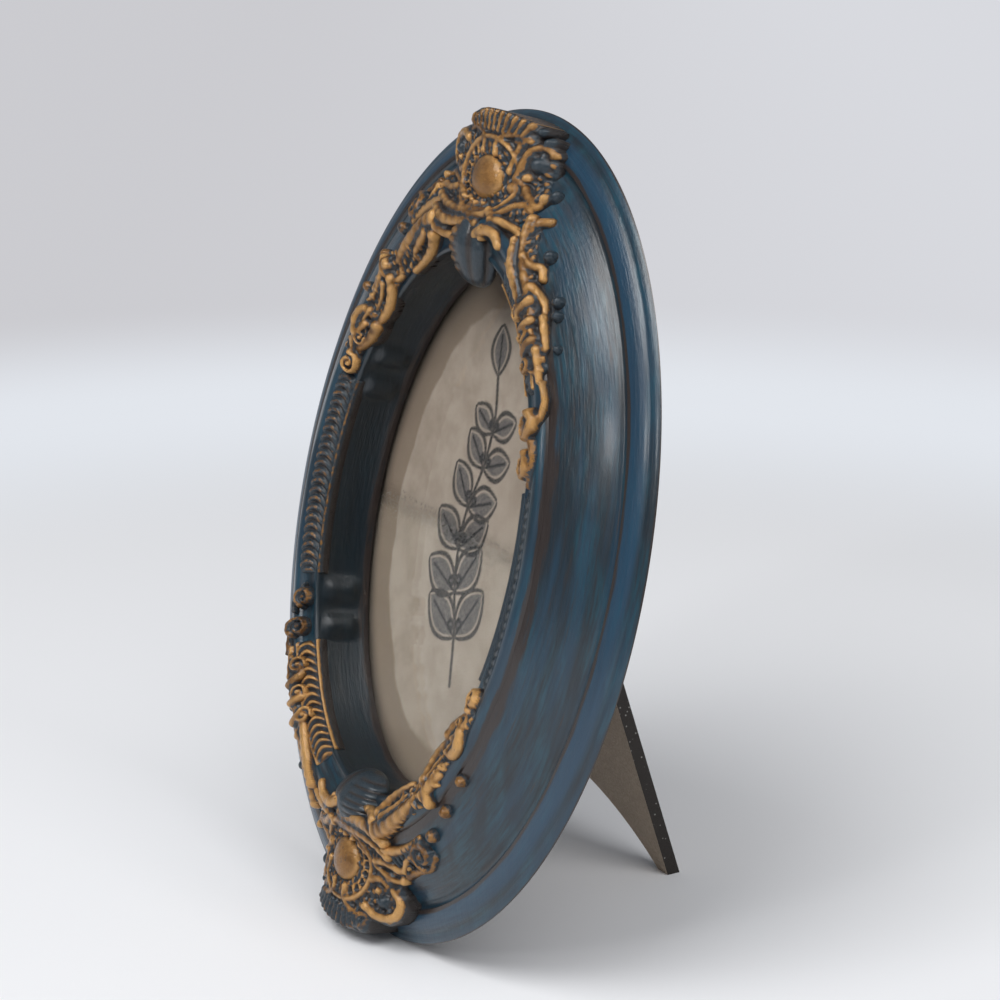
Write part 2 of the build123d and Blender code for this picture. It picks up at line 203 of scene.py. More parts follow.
def make_object(name: str, points: Array, faces: list, attributes: dict[str, Array], sharp: float) -> Any:
    """Mesh object at the origin with smooth faces and named values on its points.

    Args:
        name: Name of the piece.
        points: Points in metres.
        faces: Lists of point numbers.
        attributes: Values, or rows of three, for each point.
        sharp: Angle in degrees over which an edge stays sharp.

    Returns:
        The new object.
    """
    mesh = bpy.data.meshes.new(name)
    mesh.from_pydata(points.tolist(), [], faces)
    for label, values in attributes.items():
        vector = values.ndim == 2
        layer = mesh.attributes.new(label, "FLOAT_VECTOR" if vector else "FLOAT", "POINT")
        layer.data.foreach_set("vector" if vector else "value", values.astype(np.float32).ravel())
    mesh.shade_smooth()
    mesh.set_sharp_from_angle(angle=math.radians(sharp))
    mesh.update()
    piece = bpy.data.objects.new(name, mesh)
    bpy.context.scene.collection.objects.link(piece)
    return piece


def mount(piece: Any, material: Any, body: str, slot: str, *nodes: str) -> Any:
    """Dresses a piece, sets it on its body and lets it stand for its nodes.

    Args:
        piece: Object to set.
        material: Its finish.
        body: Body that it moves with.
        slot: Not used.
        nodes: Nodes that it stands for.

    Returns:
        The piece.
    """
    piece.data.materials.append(material)
    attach(piece, body)
    if nodes:
        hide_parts(*nodes)
    log.info("%s: %d faces on %s", piece.name, len(piece.data.polygons), body)
    return piece


# The oval moulding


@dataclass(frozen=True)
class Oval:
    """Section and plan of the moulding, with its lines named from the outer edge inwards."""

    outer_width: float = 140.0
    outer_height: float = 177.5
    back_edge_inset: float = 9.0
    side_line_depth: float = 6.0
    side_width: float = 2.0
    side_depth: float = 7.2
    side_bow: float = 0.2
    lip_width: float = 4.8
    lip_depth: float = 9.2
    lip_bow: float = 0.5
    groove_width: float = 1.8
    groove_sink: float = 0.6
    cushion_width: float = 13.6
    cushion_depth: float = 17.0
    cushion_bow: float = 0.8
    crest_width: float = 4.0
    crest_depth: float = 17.6
    crest_bow: float = 1.2
    band_width: float = 3.2
    band_depth: float = 16.4
    band_sink: float = 0.3
    fillet_width: float = 1.3
    fillet_depth: float = 15.9
    fillet_bow: float = 0.4
    cove_width: float = 1.6
    cove_sink: float = 0.5
    sight_depth: float = 5.5
    rabbet_width: float = 5.0
    rabbet_depth: float = 4.3
    flow_window: float = 1.8
    flow_samples: int = 15
    flow_step: float = 0.05
    ground_blend: float = 1.0
    hang_slope: float = 0.36
    hang_width: float = 12.0

    @property
    def lip_inset(self) -> float:
        """Inner edge of the lip."""
        return self.side_width + self.lip_width

    @property
    def groove_inset(self) -> float:
        """Inner edge of the groove beside the lip."""
        return self.lip_inset + self.groove_width

    @property
    def cushion_inset(self) -> float:
        """Inner edge of the cushion."""
        return self.groove_inset + self.cushion_width

    @property
    def crest_inset(self) -> float:
        """Inner edge of the crest."""
        return self.cushion_inset + self.crest_width

    @property
    def band_inset(self) -> float:
        """Inner edge of the inward band."""
        return self.crest_inset + self.band_width

    @property
    def fillet_inset(self) -> float:
        """Inner edge of the fillet."""
        return self.band_inset + self.fillet_width

    @property
    def face_width(self) -> float:
        """Width of the whole face, from the outer edge to the sight edge."""
        return self.fillet_inset + self.cove_width

    def section(self) -> tuple[Array, Array]:
        """Closed line of the section and how much of its undercoat shows.

        Each stretch between two lines of the moulding is a circular arc or a straight run. Bare undercoat
        fades out over the first third of a stretch, and comes back over the last third.

        Returns:
            Points as inset and depth, and a share of bare undercoat for each.
        """
        rabbet_inset = self.face_width - self.rabbet_width
        stops = (
            ((rabbet_inset, 0.0), 0.0, 8, 1.0),
            ((self.back_edge_inset, 0.0), 0.0, 10, 1.0),
            ((0.0, self.side_line_depth), self.side_bow, 6, 0.75),
            ((self.side_width, self.side_depth), self.lip_bow, 14, 0.0),
            ((self.lip_inset, self.lip_depth), -self.groove_sink, 8, 0.95),
            ((self.groove_inset, self.lip_depth), self.cushion_bow, 40, 0.34),
            ((self.cushion_inset, self.cushion_depth), self.crest_bow, 16, 0.85),
            ((self.crest_inset, self.crest_depth), -self.band_sink, 10, 0.15),
            ((self.band_inset, self.band_depth), self.fillet_bow, 6, 0.3),
            ((self.fillet_inset, self.fillet_depth), -self.cove_sink, 24, 0.2),
            ((self.face_width, self.sight_depth), 0.0, 3, 0.6),
            ((self.face_width, self.rabbet_depth), 0.0, 4, 1.0),
            ((rabbet_inset, self.rabbet_depth), 0.0, 4, 1.0),
        )
        runs = []
        bare = []
        for (start, bow, count, first), (end, _, _, last) in zip(stops, stops[1:] + stops[:1]):
            runs.append(bowed(start, end, bow, count))
            share = np.linspace(0.0, 1.0, count, endpoint=False)
            ends = np.maximum(first * (1 - 3 * share), last * (3 * share - 2))
            bare.append(np.maximum(ends, min(first, last)))
        return np.vstack(runs), np.concatenate(bare)

    def face_line(self) -> Array:
        """Front of the section from the lip to the inward band, run on past it in front of the opening."""
        line, _ = self.section()
        front = line[(line[:, 1] >= self.side_depth) & (line[:, 0] <= self.band_inset)]
        end = (self.band_inset + self.hang_width, self.band_depth - self.hang_slope * self.hang_width)
        return np.vstack((front, end))

    def flow(self, inset: Array, ground: Array | float) -> tuple[Array, Array]:
        """Face as the ornament follows it: the section averaged over a short window, to bridge its lines.

        Args:
            inset: Insets from the outer edge.
            ground: Depths below which the ornament doesn't follow the face.

        Returns:
            Depth of the averaged face, and its slope inwards.
        """
        line = self.face_line()
        window = np.linspace(-self.flow_window, self.flow_window, self.flow_samples)
        around = inset[..., None] + window
        depth = np.interp(around, line[:, 0], line[:, 1]).mean(-1)
        ahead = np.interp(around + self.flow_step, line[:, 0], line[:, 1]).mean(-1)
        slope = (ahead - depth) / self.flow_step
        followed = eased(depth - ground, -self.ground_blend, self.ground_blend)
        return np.maximum(depth, ground), slope * followed

    def plan(self, turn: Array, inset: Array) -> tuple[Array, Array, Array, Array]:
        """Place in the plane of the face.

        The middle line of the moulding is an ellipse, and a place lies off it along its normal.

        Args:
            turn: Shares of a turn, from the right-hand side towards the top.
            inset: Insets from the outer edge.

        Returns:
            x, y, and the outward normal's x and y.
        """
        angle = 2 * math.pi * turn
        half_width = (self.outer_width - self.face_width) / 2
        half_height = (self.outer_height - self.face_width) / 2
        nx = half_height * np.cos(angle)
        ny = half_width * np.sin(angle)
        length = np.hypot(nx, ny)
        nx, ny = nx / length, ny / length
        out = self.face_width / 2 - inset
        return half_width * np.cos(angle) + out * nx, half_height * np.sin(angle) + out * ny, nx, ny

    def lifted(self, turn: Array, inset: Array, rise: Array, ground: Array | float) -> Array:
        """Points that stand a rise above the averaged face, along its normal.

        Args:
            turn: Shares of a turn.
            inset: Insets from the outer edge.
            rise: Heights over the face.
            ground: Depths below which the face isn't followed.

        Returns:
            Rows of x, y and z.
        """
        x, y, nx, ny = self.plan(turn, inset)
        depth, slope = self.flow(inset, ground)
        steep = np.sqrt(1 + slope ** 2)
        out = rise * slope / steep
        return np.stack((x + out * nx, y + out * ny, depth + rise / steep), -1).reshape(-1, 3)


@dataclass(frozen=True)
class Moulding:
    """The swept oval ring, with the pairs of straps that stand on its inner wall."""

    oval: Oval
    turns: int = 480
    strap_turns: tuple[float, ...] = (0.0640, 0.0860, 0.5640, 0.5860, 0.4200, 0.4410, 0.9200, 0.9410)
    strap_half_width: float = 0.0085
    strap_rise: float = 1.1
    strap_fade: float = 3.6
    ridge_fade: float = 1.2
    unevenness: float = 0.05
    waves: tuple[tuple[int, float], ...] = ((9, 0.07), (23, -0.05))
    sharp_angle: float = 40.0

    def build(self, place: Placement) -> Any:
        """Carries the section round the oval, a little unevenly on its upper part.

        Args:
            place: Where the frame lies in the model.

        Returns:
            Object with the brush direction, lip, bare undercoat and painted shade of the inner wall on its
            points.
        """
        oval = self.oval
        line, bare = oval.section()
        turn = np.arange(self.turns) / self.turns
        turn, inset = np.meshgrid(turn, line[:, 0], indexing="ij")
        depth = np.broadcast_to(line[:, 1], turn.shape)
        x, y, _, _ = oval.plan(turn, inset + self.straps(turn, inset, depth))
        wave = sum(np.sin(2 * math.pi * (count * turn + lean * inset)) for count, lean in self.waves)
        lift = self.unevenness * wave * eased(depth, oval.lip_depth, oval.cushion_depth)
        points = np.stack((x, y, depth + lift), -1).reshape(-1, 3)
        run = np.concatenate(((0.0,), np.cumsum(np.hypot(*np.diff(line, axis=0).T))))
        angle = 2 * math.pi * turn
        brush = np.stack((np.cos(angle), np.sin(angle), np.broadcast_to(run, turn.shape)), -1).reshape(-1, 3)
        # Share of painted shade on the inner wall, from the band inwards.
        inner = eased(inset, oval.band_inset, oval.fillet_inset)
        lip_start = eased(inset, oval.side_width, oval.side_width + self.ridge_fade)
        lip_end = eased(inset, oval.lip_inset - self.ridge_fade, oval.lip_inset)
        ridge = lip_start * (1 - lip_end)
        attributes = {
            "brush": brush,
            "ridge": ridge.ravel(),
            "bare": np.broadcast_to(bare, turn.shape).ravel(),
            "inner": inner.ravel(),
        }
        faces = self.ring_faces(len(line))
        return make_object("oval_moulding", place.to_model(points), faces, attributes, self.sharp_angle)

    def straps(self, turn: Array, inset: Array, depth: Array) -> Array:
        """How far the straps stand into the opening: bowed across, and fading out at both ends."""
        oval = self.oval
        across = np.zeros_like(turn)
        for middle in self.strap_turns:
            off = np.abs((turn - middle + 0.5) % 1.0 - 0.5) / self.strap_half_width
            across = np.maximum(across, np.clip(1 - off ** 2, 0.0, 1.0))
        along = eased(oval.fillet_depth - depth, 0.0, self.strap_fade)
        along = along * eased(depth - oval.sight_depth, 0.0, self.strap_fade)
        return self.strap_rise * across * along * (inset > oval.band_inset)

    def ring_faces(self, count: int) -> list:
        """Quads between neighbouring sections, closed round the oval and round the section."""
        ring, step = np.meshgrid(np.arange(self.turns), np.arange(count), indexing="ij")
        after = (ring + 1) % self.turns
        beside = (step + 1) % count
        corners = (ring * count + step, after * count + step, after * count + beside, ring * count + beside)
        return np.stack(corners, -1).reshape(-1, 4).tolist()


# Raised ornament


@dataclass(frozen=True)
class LeafShape:
    """Proportions of an acanthus leaf.

    Attributes:
        vein_points: Number of points along the vein.
        vein_share: Half width of the vein at its root, as a share of the leaf's width.
        vein_base: What is added to that half width.
        vein_tip: Half width of the vein at its tip.
        first: Share of the vein at which the first fingers stand.
        spread: Share of the vein over which the fingers are spread.
        shorten: How much shorter a finger is at the tip than at the root, as a share.
        knee: Middle of a finger across and along the vein, in lengths of the finger.
        end: End of a finger, in the same way.
        finger_radii: Half widths of a finger at its foot and at its end.
        finger_rise: Height of a finger, as a share of the leaf's.
        finger_end: Height at its end, as a share of its own.
    """

    vein_points: int = 14
    vein_share: float = 0.16
    vein_base: float = 0.35
    vein_tip: float = 0.45
    first: float = 0.12
    spread: float = 0.72
    shorten: float = 0.55
    knee: Pair = (0.5, 0.32)
    end: Pair = (0.86, 0.95)
    finger_radii: Pair = (0.62, 0.42)
    finger_rise: float = 0.9
    finger_end: float = 0.55


@dataclass
class Relief:
    """Patch of cast ornament: a height over the face at each place of a fine grid, built up stroke by stroke.

    Attributes:
        oval: The moulding that carries it.
        turns: First and last share of a turn.
        insets: First and last inset.
        half: Half of the oval on which the motif lies.
        level: Depth of the level ground in the middle of the motif, or 0 where it follows the face.
        falls: How fast the level ground drops with the square of x, on the left and on the right.
        pitch: Distance between grid lines.
        trial_count: Number of points that measure the patch's length.
        least_lines: Least number of grid lines either way.
        notch: Depth of the notches across a cord, as a share of its height.
        notch_pitch: Distance between notches.
        cord_points: Points along a cord for each given one.
        margin: Width beside a cord in which its flanks are laid.
        flank: Steepness of what falls off beside a form.
        sunk: Height of the bare grid, below the face.
        kept: Height from which a place belongs to the casting.
        root: Height of the casting's underside, below the face.
        root_gap: Least thickness over that underside.
        shelf: Least height of the underside over the moulding's side line.
        volute_cord: Half width of a scroll end's cord and of its eye, as a share of its radius.
        volute_tail: Half width where the cord ends, in the same way.
        volute_end: Height where it ends, as a share of its rise.
        eye_rise: Height of the eye, as a share of the rise.
        leaf_shape: Proportions of the leaves.
        bed_level: Height from which a place carries foliage.
        lump_range: Lump heights between which the gold on them sets in.
        bridge_passes: How often cells that meet at a corner only are bridged.
        crown_floor: Height that counts as level for the tops.
        crown_blur: Passes of the blur that the tops stand out from.
        crown_height: Height over the blur from a hollow to a full top.
        hollow_depth: Depth under the blur of a full hollow.
        sharp_angle: Angle in degrees over which an edge stays sharp.
    """

    oval: Oval
    turns: Pair
    insets: Pair
    half: Half
    level: float = 0.0
    falls: Pair = (0.0, 0.0)
    pitch: float = 0.22
    trial_count: int = 64
    least_lines: int = 8
    notch: float = 0.07
    notch_pitch: float = 2.3
    cord_points: int = 6
    margin: float = 0.6
    flank: float = 4.0
    sunk: float = -1.6
    kept: float = -1.15
    root: float = -1.9
    root_gap: float = 0.1
    shelf: float = 0.3
    volute_cord: float = 0.34
    volute_tail: float = 0.2
    volute_end: float = 0.9
    eye_rise: float = 1.1
    leaf_shape: LeafShape = LeafShape()
    bed_level: float = 0.05
    lump_range: Pair = (0.25, 0.75)
    bridge_passes: int = 3
    crown_floor: float = -0.4
    crown_blur: int = 14
    crown_height: float = 0.7
    hollow_depth: float = 0.6
    sharp_angle: float = 80.0
    turn: Array = field(init=False)
    inset: Array = field(init=False)
    x: Array = field(init=False)
    y: Array = field(init=False)
    ground: Array = field(init=False)
    rise: Array = field(init=False)
    gild: Array = field(init=False)

    def __post_init__(self) -> None:
        """Lays out the grid with the face bare."""
        shift = 0.0 if self.half is Half.UPPER else 0.5
        middle = np.full(self.trial_count, sum(self.insets) / 2)
        trial = np.linspace(*self.turns, self.trial_count)
        tx, ty, _, _ = self.oval.plan(trial, middle)
        length = float(np.hypot(np.diff(tx), np.diff(ty)).sum())
        width = self.insets[1] - self.insets[0]
        along = np.linspace(*self.turns, max(int(length / self.pitch), self.least_lines))
        across = np.linspace(*self.insets, max(int(width / self.pitch), self.least_lines))
        self.turn, self.inset = np.meshgrid(along, across, indexing="ij")
        self.x, self.y, _, _ = self.oval.plan(self.turn, self.inset)
        self.turn = self.turn + shift
        self.ground = self.level - np.where(self.x < 0, *self.falls) * self.x ** 2
        self.rise = np.full(self.x.shape, self.sunk)
        self.gild = np.zeros(self.x.shape)

    def lay(self, rise: Array, gild: Array | float) -> None:
        """Puts a form on the patch: the higher surface wins, and brings its gilding with it."""
        over = rise > self.rise
        self.gild = np.where(over, gild, self.gild)
        self.rise = np.maximum(self.rise, rise)

    def bead(self, centre: Pair, radii: Pair, rise: float, gild: float) -> None:
        """Dome whose height is rise times the root of one minus the squared distance from its middle.

        Args:
            centre: Middle of the dome.
            radii: Half widths across and up the face.
            rise: Height over the face.
            gild: Share of gold.
        """
        away = np.hypot((self.x - centre[0]) / radii[0], (self.y - centre[1]) / radii[1])
        dome = rise * np.sqrt(np.clip(1 - away ** 2, 0.0, 1.0))
        self.lay(np.where(away < 1, dome, -self.flank * (away - 1) * min(radii)), gild)

    def pit(self, centre: Pair, radius: float, rise: float) -> None:
        """Round hollow without gold, sunk to a height over the face."""
        inside = np.hypot(self.x - centre[0], self.y - centre[1]) < radius
        self.gild = np.where(inside, 0.0, self.gild)
        self.rise = np.where(inside, np.minimum(self.rise, rise), self.rise)

    def stroke(self, line: Array, radii: Pair, rise: float, gild: float, end_rise: float = 0.6) -> None:
        """Half-round cord along a line, narrowing from one end to the other and lightly notched across.

        At each place the nearest stretch of the line counts, by its distance over the half width there.
        The notches take the share notch * sin(pi * run / notch_pitch) ** 2 of the height at a run along it.

        Args:
            line: Points along the middle of the cord.
            radii: Half widths at its start and end.
            rise: Height at its start.
            gild: Share of gold.
            end_rise: Height at its end, as a share of the rise.
        """
        reach = max(radii) + self.margin
        near = (self.x > line[:, 0].min() - reach) & (self.x < line[:, 0].max() + reach)
        near &= (self.y > line[:, 1].min() - reach) & (self.y < line[:, 1].max() + reach)
        if not near.any():
            return
        spot = np.column_stack((self.x[near], self.y[near]))
        start, span = line[:-1], np.diff(line, axis=0)
        off = spot[:, None, :] - start
        share = np.clip((off * span).sum(-1) / (span ** 2).sum(-1), 0.0, 1.0)
        gap = np.linalg.norm(off - share[..., None] * span, axis=-1)
        along = (np.arange(len(span)) + share) / len(span)
        width = radii[0] + (radii[1] - radii[0]) * along
        ratio = gap / width
        best = ratio.argmin(1)
        row = np.arange(len(best))
        ratio, width, along = ratio[row, best], width[row, best], along[row, best]
        run = along * np.linalg.norm(span, axis=1).sum()
        notches = 1 - self.notch * np.sin(math.pi * run / self.notch_pitch) ** 2
        tall = rise * (1 + (end_rise - 1) * along) * notches
        dome = tall * np.sqrt(np.clip(1 - ratio ** 2, 0.0, 1.0))
        form = np.full(self.x.shape, self.sunk)
        form[near] = np.where(ratio < 1, dome, -self.flank * (ratio - 1) * width)
        self.lay(form, gild)

    def cord(self, points: Points, radii: Pair, rise: float, gild: float,
             end_rise: float = 0.6) -> None:
        """Stroke along a smooth line through given points."""
        self.stroke(smooth_line(points, self.cord_points * len(points)), radii, rise, gild, end_rise)

    def volute(self, centre: Pair, radius: float, start: float, turns: float, rise: float,
               gild: float) -> None:
        """Scroll end with an eye in its middle."""
        thick = self.volute_cord * radius
        line = spiral(centre, radius, start, turns)
        self.stroke(line, (thick, self.volute_tail * radius), rise, gild, self.volute_end)
        self.bead(centre, (thick, thick), self.eye_rise * rise, gild)

    def leaf(self, root: Pair, tip: Pair, bend: float, width: float, fingers: int, rise: float,
             gild: float) -> None:
        """Acanthus leaf: a bent vein with curved fingers on both sides that shorten towards the tip.

        Args:
            root: Where the leaf starts.
            tip: Where it ends.
            bend: Sideways bow of the vein.
            width: Length of the longest finger.
            fingers: Number of fingers on a side.
            rise: Height at the root.
            gild: Share of gold.
        """
        shape = self.leaf_shape
        root, tip = np.array(root), np.array(tip)
        along = tip - root
        length = float(np.hypot(*along))
        along = along / length
        across = np.array((-along[1], along[0]))
        middle = (root + tip) / 2 + bend * across
        vein = smooth_line((root, middle, tip), shape.vein_points)
        thick = shape.vein_share * width + shape.vein_base
        self.stroke(vein, (thick, shape.vein_tip), rise, gild)
        finger_rise = shape.finger_rise * rise
        for i in range(fingers):
            share = shape.first + shape.spread * i / max(fingers - 1, 1)
            foot = vein[int(share * (shape.vein_points - 1))]
            reach = width * (1 - shape.shorten * share)
            for side in (-1, 1):
                knee = foot + reach * (shape.knee[0] * side * across + shape.knee[1] * along)
                end = foot + reach * (shape.end[0] * side * across + shape.end[1] * along)
                finger = (tuple(foot), tuple(knee), tuple(end))
                self.cord(finger, shape.finger_radii, finger_rise, gild, shape.finger_end)

    def foliage(self, rise: float, gild: float) -> None:
        """Fills what is laid so far with small leafy lumps.

        With u = 0.8x + 0.6y and v = 0.6x - 0.8y, a lump is |sin(1.9u + sin(0.8v)) * sin(1.6v + sin(0.9u))|.

        Args:
            rise: Height of the lumps over what they lie on.
            gild: Share of gold on their tops.
        """
        u = 0.8 * self.x + 0.6 * self.y
        v = 0.6 * self.x - 0.8 * self.y
        lump = np.abs(np.sin(1.9 * u + np.sin(0.8 * v)) * np.sin(1.6 * v + np.sin(0.9 * u)))
        bed = self.rise > self.bed_level
        self.lay(np.where(bed, self.rise + rise * lump, self.sunk), gild * eased(lump, *self.lump_range))

    def build(self, name: str, place: Placement) -> Any:
        """Closes the patch to a solid casting.

        Grid cells that stand out of the face are kept, given an underside inside the moulding, and joined to
        it by walls along their rim. Cells that meet at a corner only are bridged.

        Args:
            name: Name of the piece.
            place: Where the frame lies in the model.

        Returns:
            Object with its gilding, height and hollows on its points.
        """
        rise = np.maximum(softened(self.rise, 1), self.root + self.root_gap)
        proud = rise - softened(rise.clip(self.crown_floor), self.crown_blur)
        keep = self.rise > self.kept
        cells = keep[:-1, :-1] & keep[1:, :-1] & keep[:-1, 1:] & keep[1:, 1:]
        cells[[0, -1], :] = False
        cells[:, [0, -1]] = False
        for _ in range(self.bridge_passes):
            falling = cells[:-1, :-1] & cells[1:, 1:] & ~cells[1:, :-1] & ~cells[:-1, 1:]
            rising = cells[1:, :-1] & cells[:-1, 1:] & ~cells[:-1, :-1] & ~cells[1:, 1:]
            cells[1:, :-1] |= falling
            cells[:-1, :-1] |= rising
        used = np.zeros(keep.shape, bool)
        for shift in ((slice(None, -1), slice(None, -1)), (slice(1, None), slice(None, -1)),
                      (slice(None, -1), slice(1, None)), (slice(1, None), slice(1, None))):
            used[shift] |= cells
        number = np.cumsum(used.ravel()).reshape(used.shape) - 1
        total = int(used.sum())
        top = self.oval.lifted(self.turn[used], self.inset[used], rise[used], self.ground[used])
        under = self.oval.lifted(self.turn[used], self.inset[used], np.full(total, self.root), 0.0)
        under[:, 2] = np.maximum(under[:, 2], self.oval.side_line_depth + self.shelf)
        i, j = np.nonzero(cells)
        a, b, c, d = number[i, j], number[i + 1, j], number[i + 1, j + 1], number[i, j + 1]
        faces = [np.stack((a, b, c, d), -1), np.stack((d, c, b, a), -1) + total]
        ringed = np.pad(cells, 1)
        rims = (
            (ringed[1:-1, :-2], a, b),
            (ringed[2:, 1:-1], b, c),
            (ringed[1:-1, 2:], c, d),
            (ringed[:-2, 1:-1], d, a),
        )
        for beside, first, last in rims:
            edge = ~beside[i, j]
            first, last = first[edge], last[edge]
            faces.append(np.stack((first, first + total, last + total, last), -1))
        attributes = {
            "gild": np.tile(self.gild[used], 2),
            "crown": np.tile(np.clip(0.5 + proud[used] / self.crown_height, 0.0, 1.0), 2),
            # Hollows, which the gilding darkens with undercoat and painted shade.
            "hollow": np.tile(np.clip(-proud[used] / self.hollow_depth, 0.0, 1.0), 2),
        }
        points = place.to_model(np.vstack((top, under)))
        return make_object(name, points, np.vstack(faces).tolist(), attributes, self.sharp_angle)


@dataclass(frozen=True)
class Cartouche:
    """Level shield round the boss: pitted ring, ribbed crown, scrolls, festoons and blue knobs."""

    oval: Oval
    turns: Pair = (0.165, 0.335)
    insets: Pair = (1.0, 33.0)
    level: float = 16.0
    falls: Pair = (0.010, 0.022)
    plate_rise: float = 0.35
    foliage_rise: float = 1.0
    foliage_gild: float = 0.7
    boss_turns: Pair = (0.215, 0.285)
    boss_insets: Pair = (7.0, 24.0)
    boss: Pair = (0.2, 73.6)
    boss_radii: Pair = (5.6, 4.8)
    boss_rise: float = 2.7
    ring_radii: Pair = (10.2, 8.3)
    ring_points: int = 73
    ring_thick: float = 0.85
    ring_rise: float = 1.7
    strip_radii: Pair = (8.2, 6.8)
    strip_points: int = 40
    strip_angles: Pair = (96.0, 262.0)
    strip_thick: float = 1.5
    strip_rise: float = 1.3
    line_angles: Pair = (-84.0, 82.0)
    line_thick: float = 0.45
    line_rise: float = 0.9
    line_gild: float = 0.35
    pit_angles: tuple[float, float, float] = (106.0, 258.0, 17.0)
    pit_radius: float = 0.85
    crown_ribs: int = 11
    crown_half_width: float = 10.4
    crown_splay: Pair = (0.84, 0.94)
    crown_heights: tuple[float, float, float] = (83.4, 85.2, 86.9)
    crown_fall: float = 0.0093
    droop: float = 0.35
    droop_start: float = 5.0
    crown_radii: Pair = (0.75, 0.98)
    crown_rise: float = 1.8
    crown_end: float = 1.05
    crown_gild: float = 0.8
    plates: tuple[tuple[Points, float], ...] = (
        (((-8.5, 84.2), (0.0, 84.6), (8.5, 84.2)), 3.0),
        (((-14.5, 77.4), (0.0, 79.0), (11.0, 77.8)), 5.4),
        (((-13.0, 71.4), (0.0, 70.0), (13.0, 71.2)), 5.2),
    )
    scrolls: tuple[tuple[Points, float, float, float, float], ...] = (
        (((2.3, 78.9), (1.9, 80.8), (3.7, 82.5), (7.2, 83.4), (10.6, 82.6)), 1.0, 0.9, 2.0, 1.0),
        (((-2.3, 78.9), (-2.4, 80.8), (-4.2, 82.4), (-7.6, 83.2), (-10.6, 82.2)), 1.0, 0.9, 2.0, 1.0),
        (((9.6, 74.8), (10.2, 78.4), (11.4, 81.0), (13.8, 82.0), (15.8, 81.0)), 1.3, 0.8, 2.2, 0.8),
        (((7.4, 76.0), (8.0, 79.0), (8.2, 82.0)), 1.2, 0.9, 1.9, 1.0),
        (((-10.4, 80.4), (-14.4, 81.2), (-18.2, 79.8), (-19.0, 76.8), (-16.6, 74.8)), 1.3, 0.9, 2.3, 1.0),
        (((9.2, 72.6), (10.6, 74.6), (12.0, 75.7)), 1.9, 1.2, 2.2, 1.0),
        (((10.6, 74.4), (12.4, 72.4), (14.8, 71.0), (17.2, 70.2), (18.6, 71.8)), 1.3, 0.9, 2.1, 0.9),
        (((5.6, 66.8), (7.8, 66.2), (10.4, 68.2), (13.8, 69.8), (16.4, 69.4)), 1.2, 1.0, 2.1, 1.0),
        (((-5.6, 68.2), (-8.4, 69.6), (-12.2, 71.4), (-16.4, 72.4), (-19.4, 71.0)), 1.1, 0.9, 2.0, 1.0),
        (((-10.4, 74.2), (-12.8, 73.6), (-15.0, 74.4)), 1.3, 0.8, 1.8, 1.0),
        (((-11.0, 69.8), (-14.4, 68.8), (-18.6, 69.2), (-21.6, 67.4)), 1.2, 0.8, 2.1, 1.0),
        (((-15.6, 67.0), (-10.8, 65.6), (-5.6, 65.4), (0.0, 66.2), (4.4, 66.6)), 1.3, 0.9, 2.3, 1.0),
        (((-15.0, 64.4), (-10.8, 63.2), (-6.2, 63.4), (-1.6, 64.0), (3.0, 64.2)), 1.3, 1.0, 2.4, 1.0),
        (((-11.6, 61.4), (-8.2, 60.6), (-4.8, 60.9), (-1.6, 62.0)), 1.4, 1.0, 2.4, 1.0),
        (((4.4, 62.6), (7.8, 63.6), (11.0, 63.0), (13.2, 61.2)), 1.3, 0.9, 2.4, 1.0),
        (((8.0, 65.2), (12.0, 65.4), (16.0, 64.8), (19.2, 62.8)), 1.1, 0.9, 2.2, 1.0),
    )
    beads: tuple[tuple[float, float, float], ...] = (
        (1.8, 62.4, 1.0),
        (0.2, 67.4, 0.9),
        (-2.2, 68.0, 0.8),
        (2.6, 67.8, 0.8),
        (-13.2, 76.0, 0.9),
        (6.4, 62.2, 0.9),
        (-19.6, 70.8, 1.2),
        (18.2, 71.8, 1.2),
        (11.8, 75.4, 1.2),
    )
    knobs: tuple[tuple[float, float, float], ...] = (
        (12.2, 85.0, 0.9),
        (14.2, 83.2, 1.1),
        (13.4, 78.4, 1.8),
        (19.8, 73.0, 1.3),
        (-15.0, 77.8, 1.6),
    )
    bead_base: float = 1.2
    knob_base: float = 0.4
    knob_share: float = 1.15
    knob_gild: float = 0.06

    def shield(self, half: Half) -> Relief:
        """Everything of the cartouche but its boss and the shell that hangs from it."""
        relief = Relief(self.oval, self.turns, self.insets, half, self.level, self.falls)
        for points, radius in self.plates:
            relief.cord(points, (radius, radius), self.plate_rise, 0.0, 1.0)
        relief.foliage(self.foliage_rise, self.foliage_gild)
        self.lay_ring(relief)
        self.lay_crown(relief)
        for points, start, end, rise, gild in self.scrolls:
            relief.cord(points, (start, end), rise, gild)
        for x, y, radius in self.beads:
            relief.bead((x, y), (radius, radius), self.bead_base + radius, 1.0)
        for x, y, radius in self.knobs:
            relief.bead((x, y), (radius, radius), self.knob_base + self.knob_share * radius, self.knob_gild)
        return relief

    def lay_crown(self, relief: Relief) -> None:
        """Row of upright ribs along the top.

        A rib at x ends at the crown's height less crown_fall * x * x, and on the far left less the droop too.
        """
        foot, knee, top = self.crown_heights
        for x in np.linspace(-self.crown_half_width, self.crown_half_width, self.crown_ribs):
            tip = (x, top - self.crown_fall * x * x - self.droop * max(-x - self.droop_start, 0.0))
            rib = ((self.crown_splay[0] * x, foot), (self.crown_splay[1] * x, knee), tip)
            relief.cord(rib, self.crown_radii, self.crown_rise, self.crown_gild, self.crown_end)

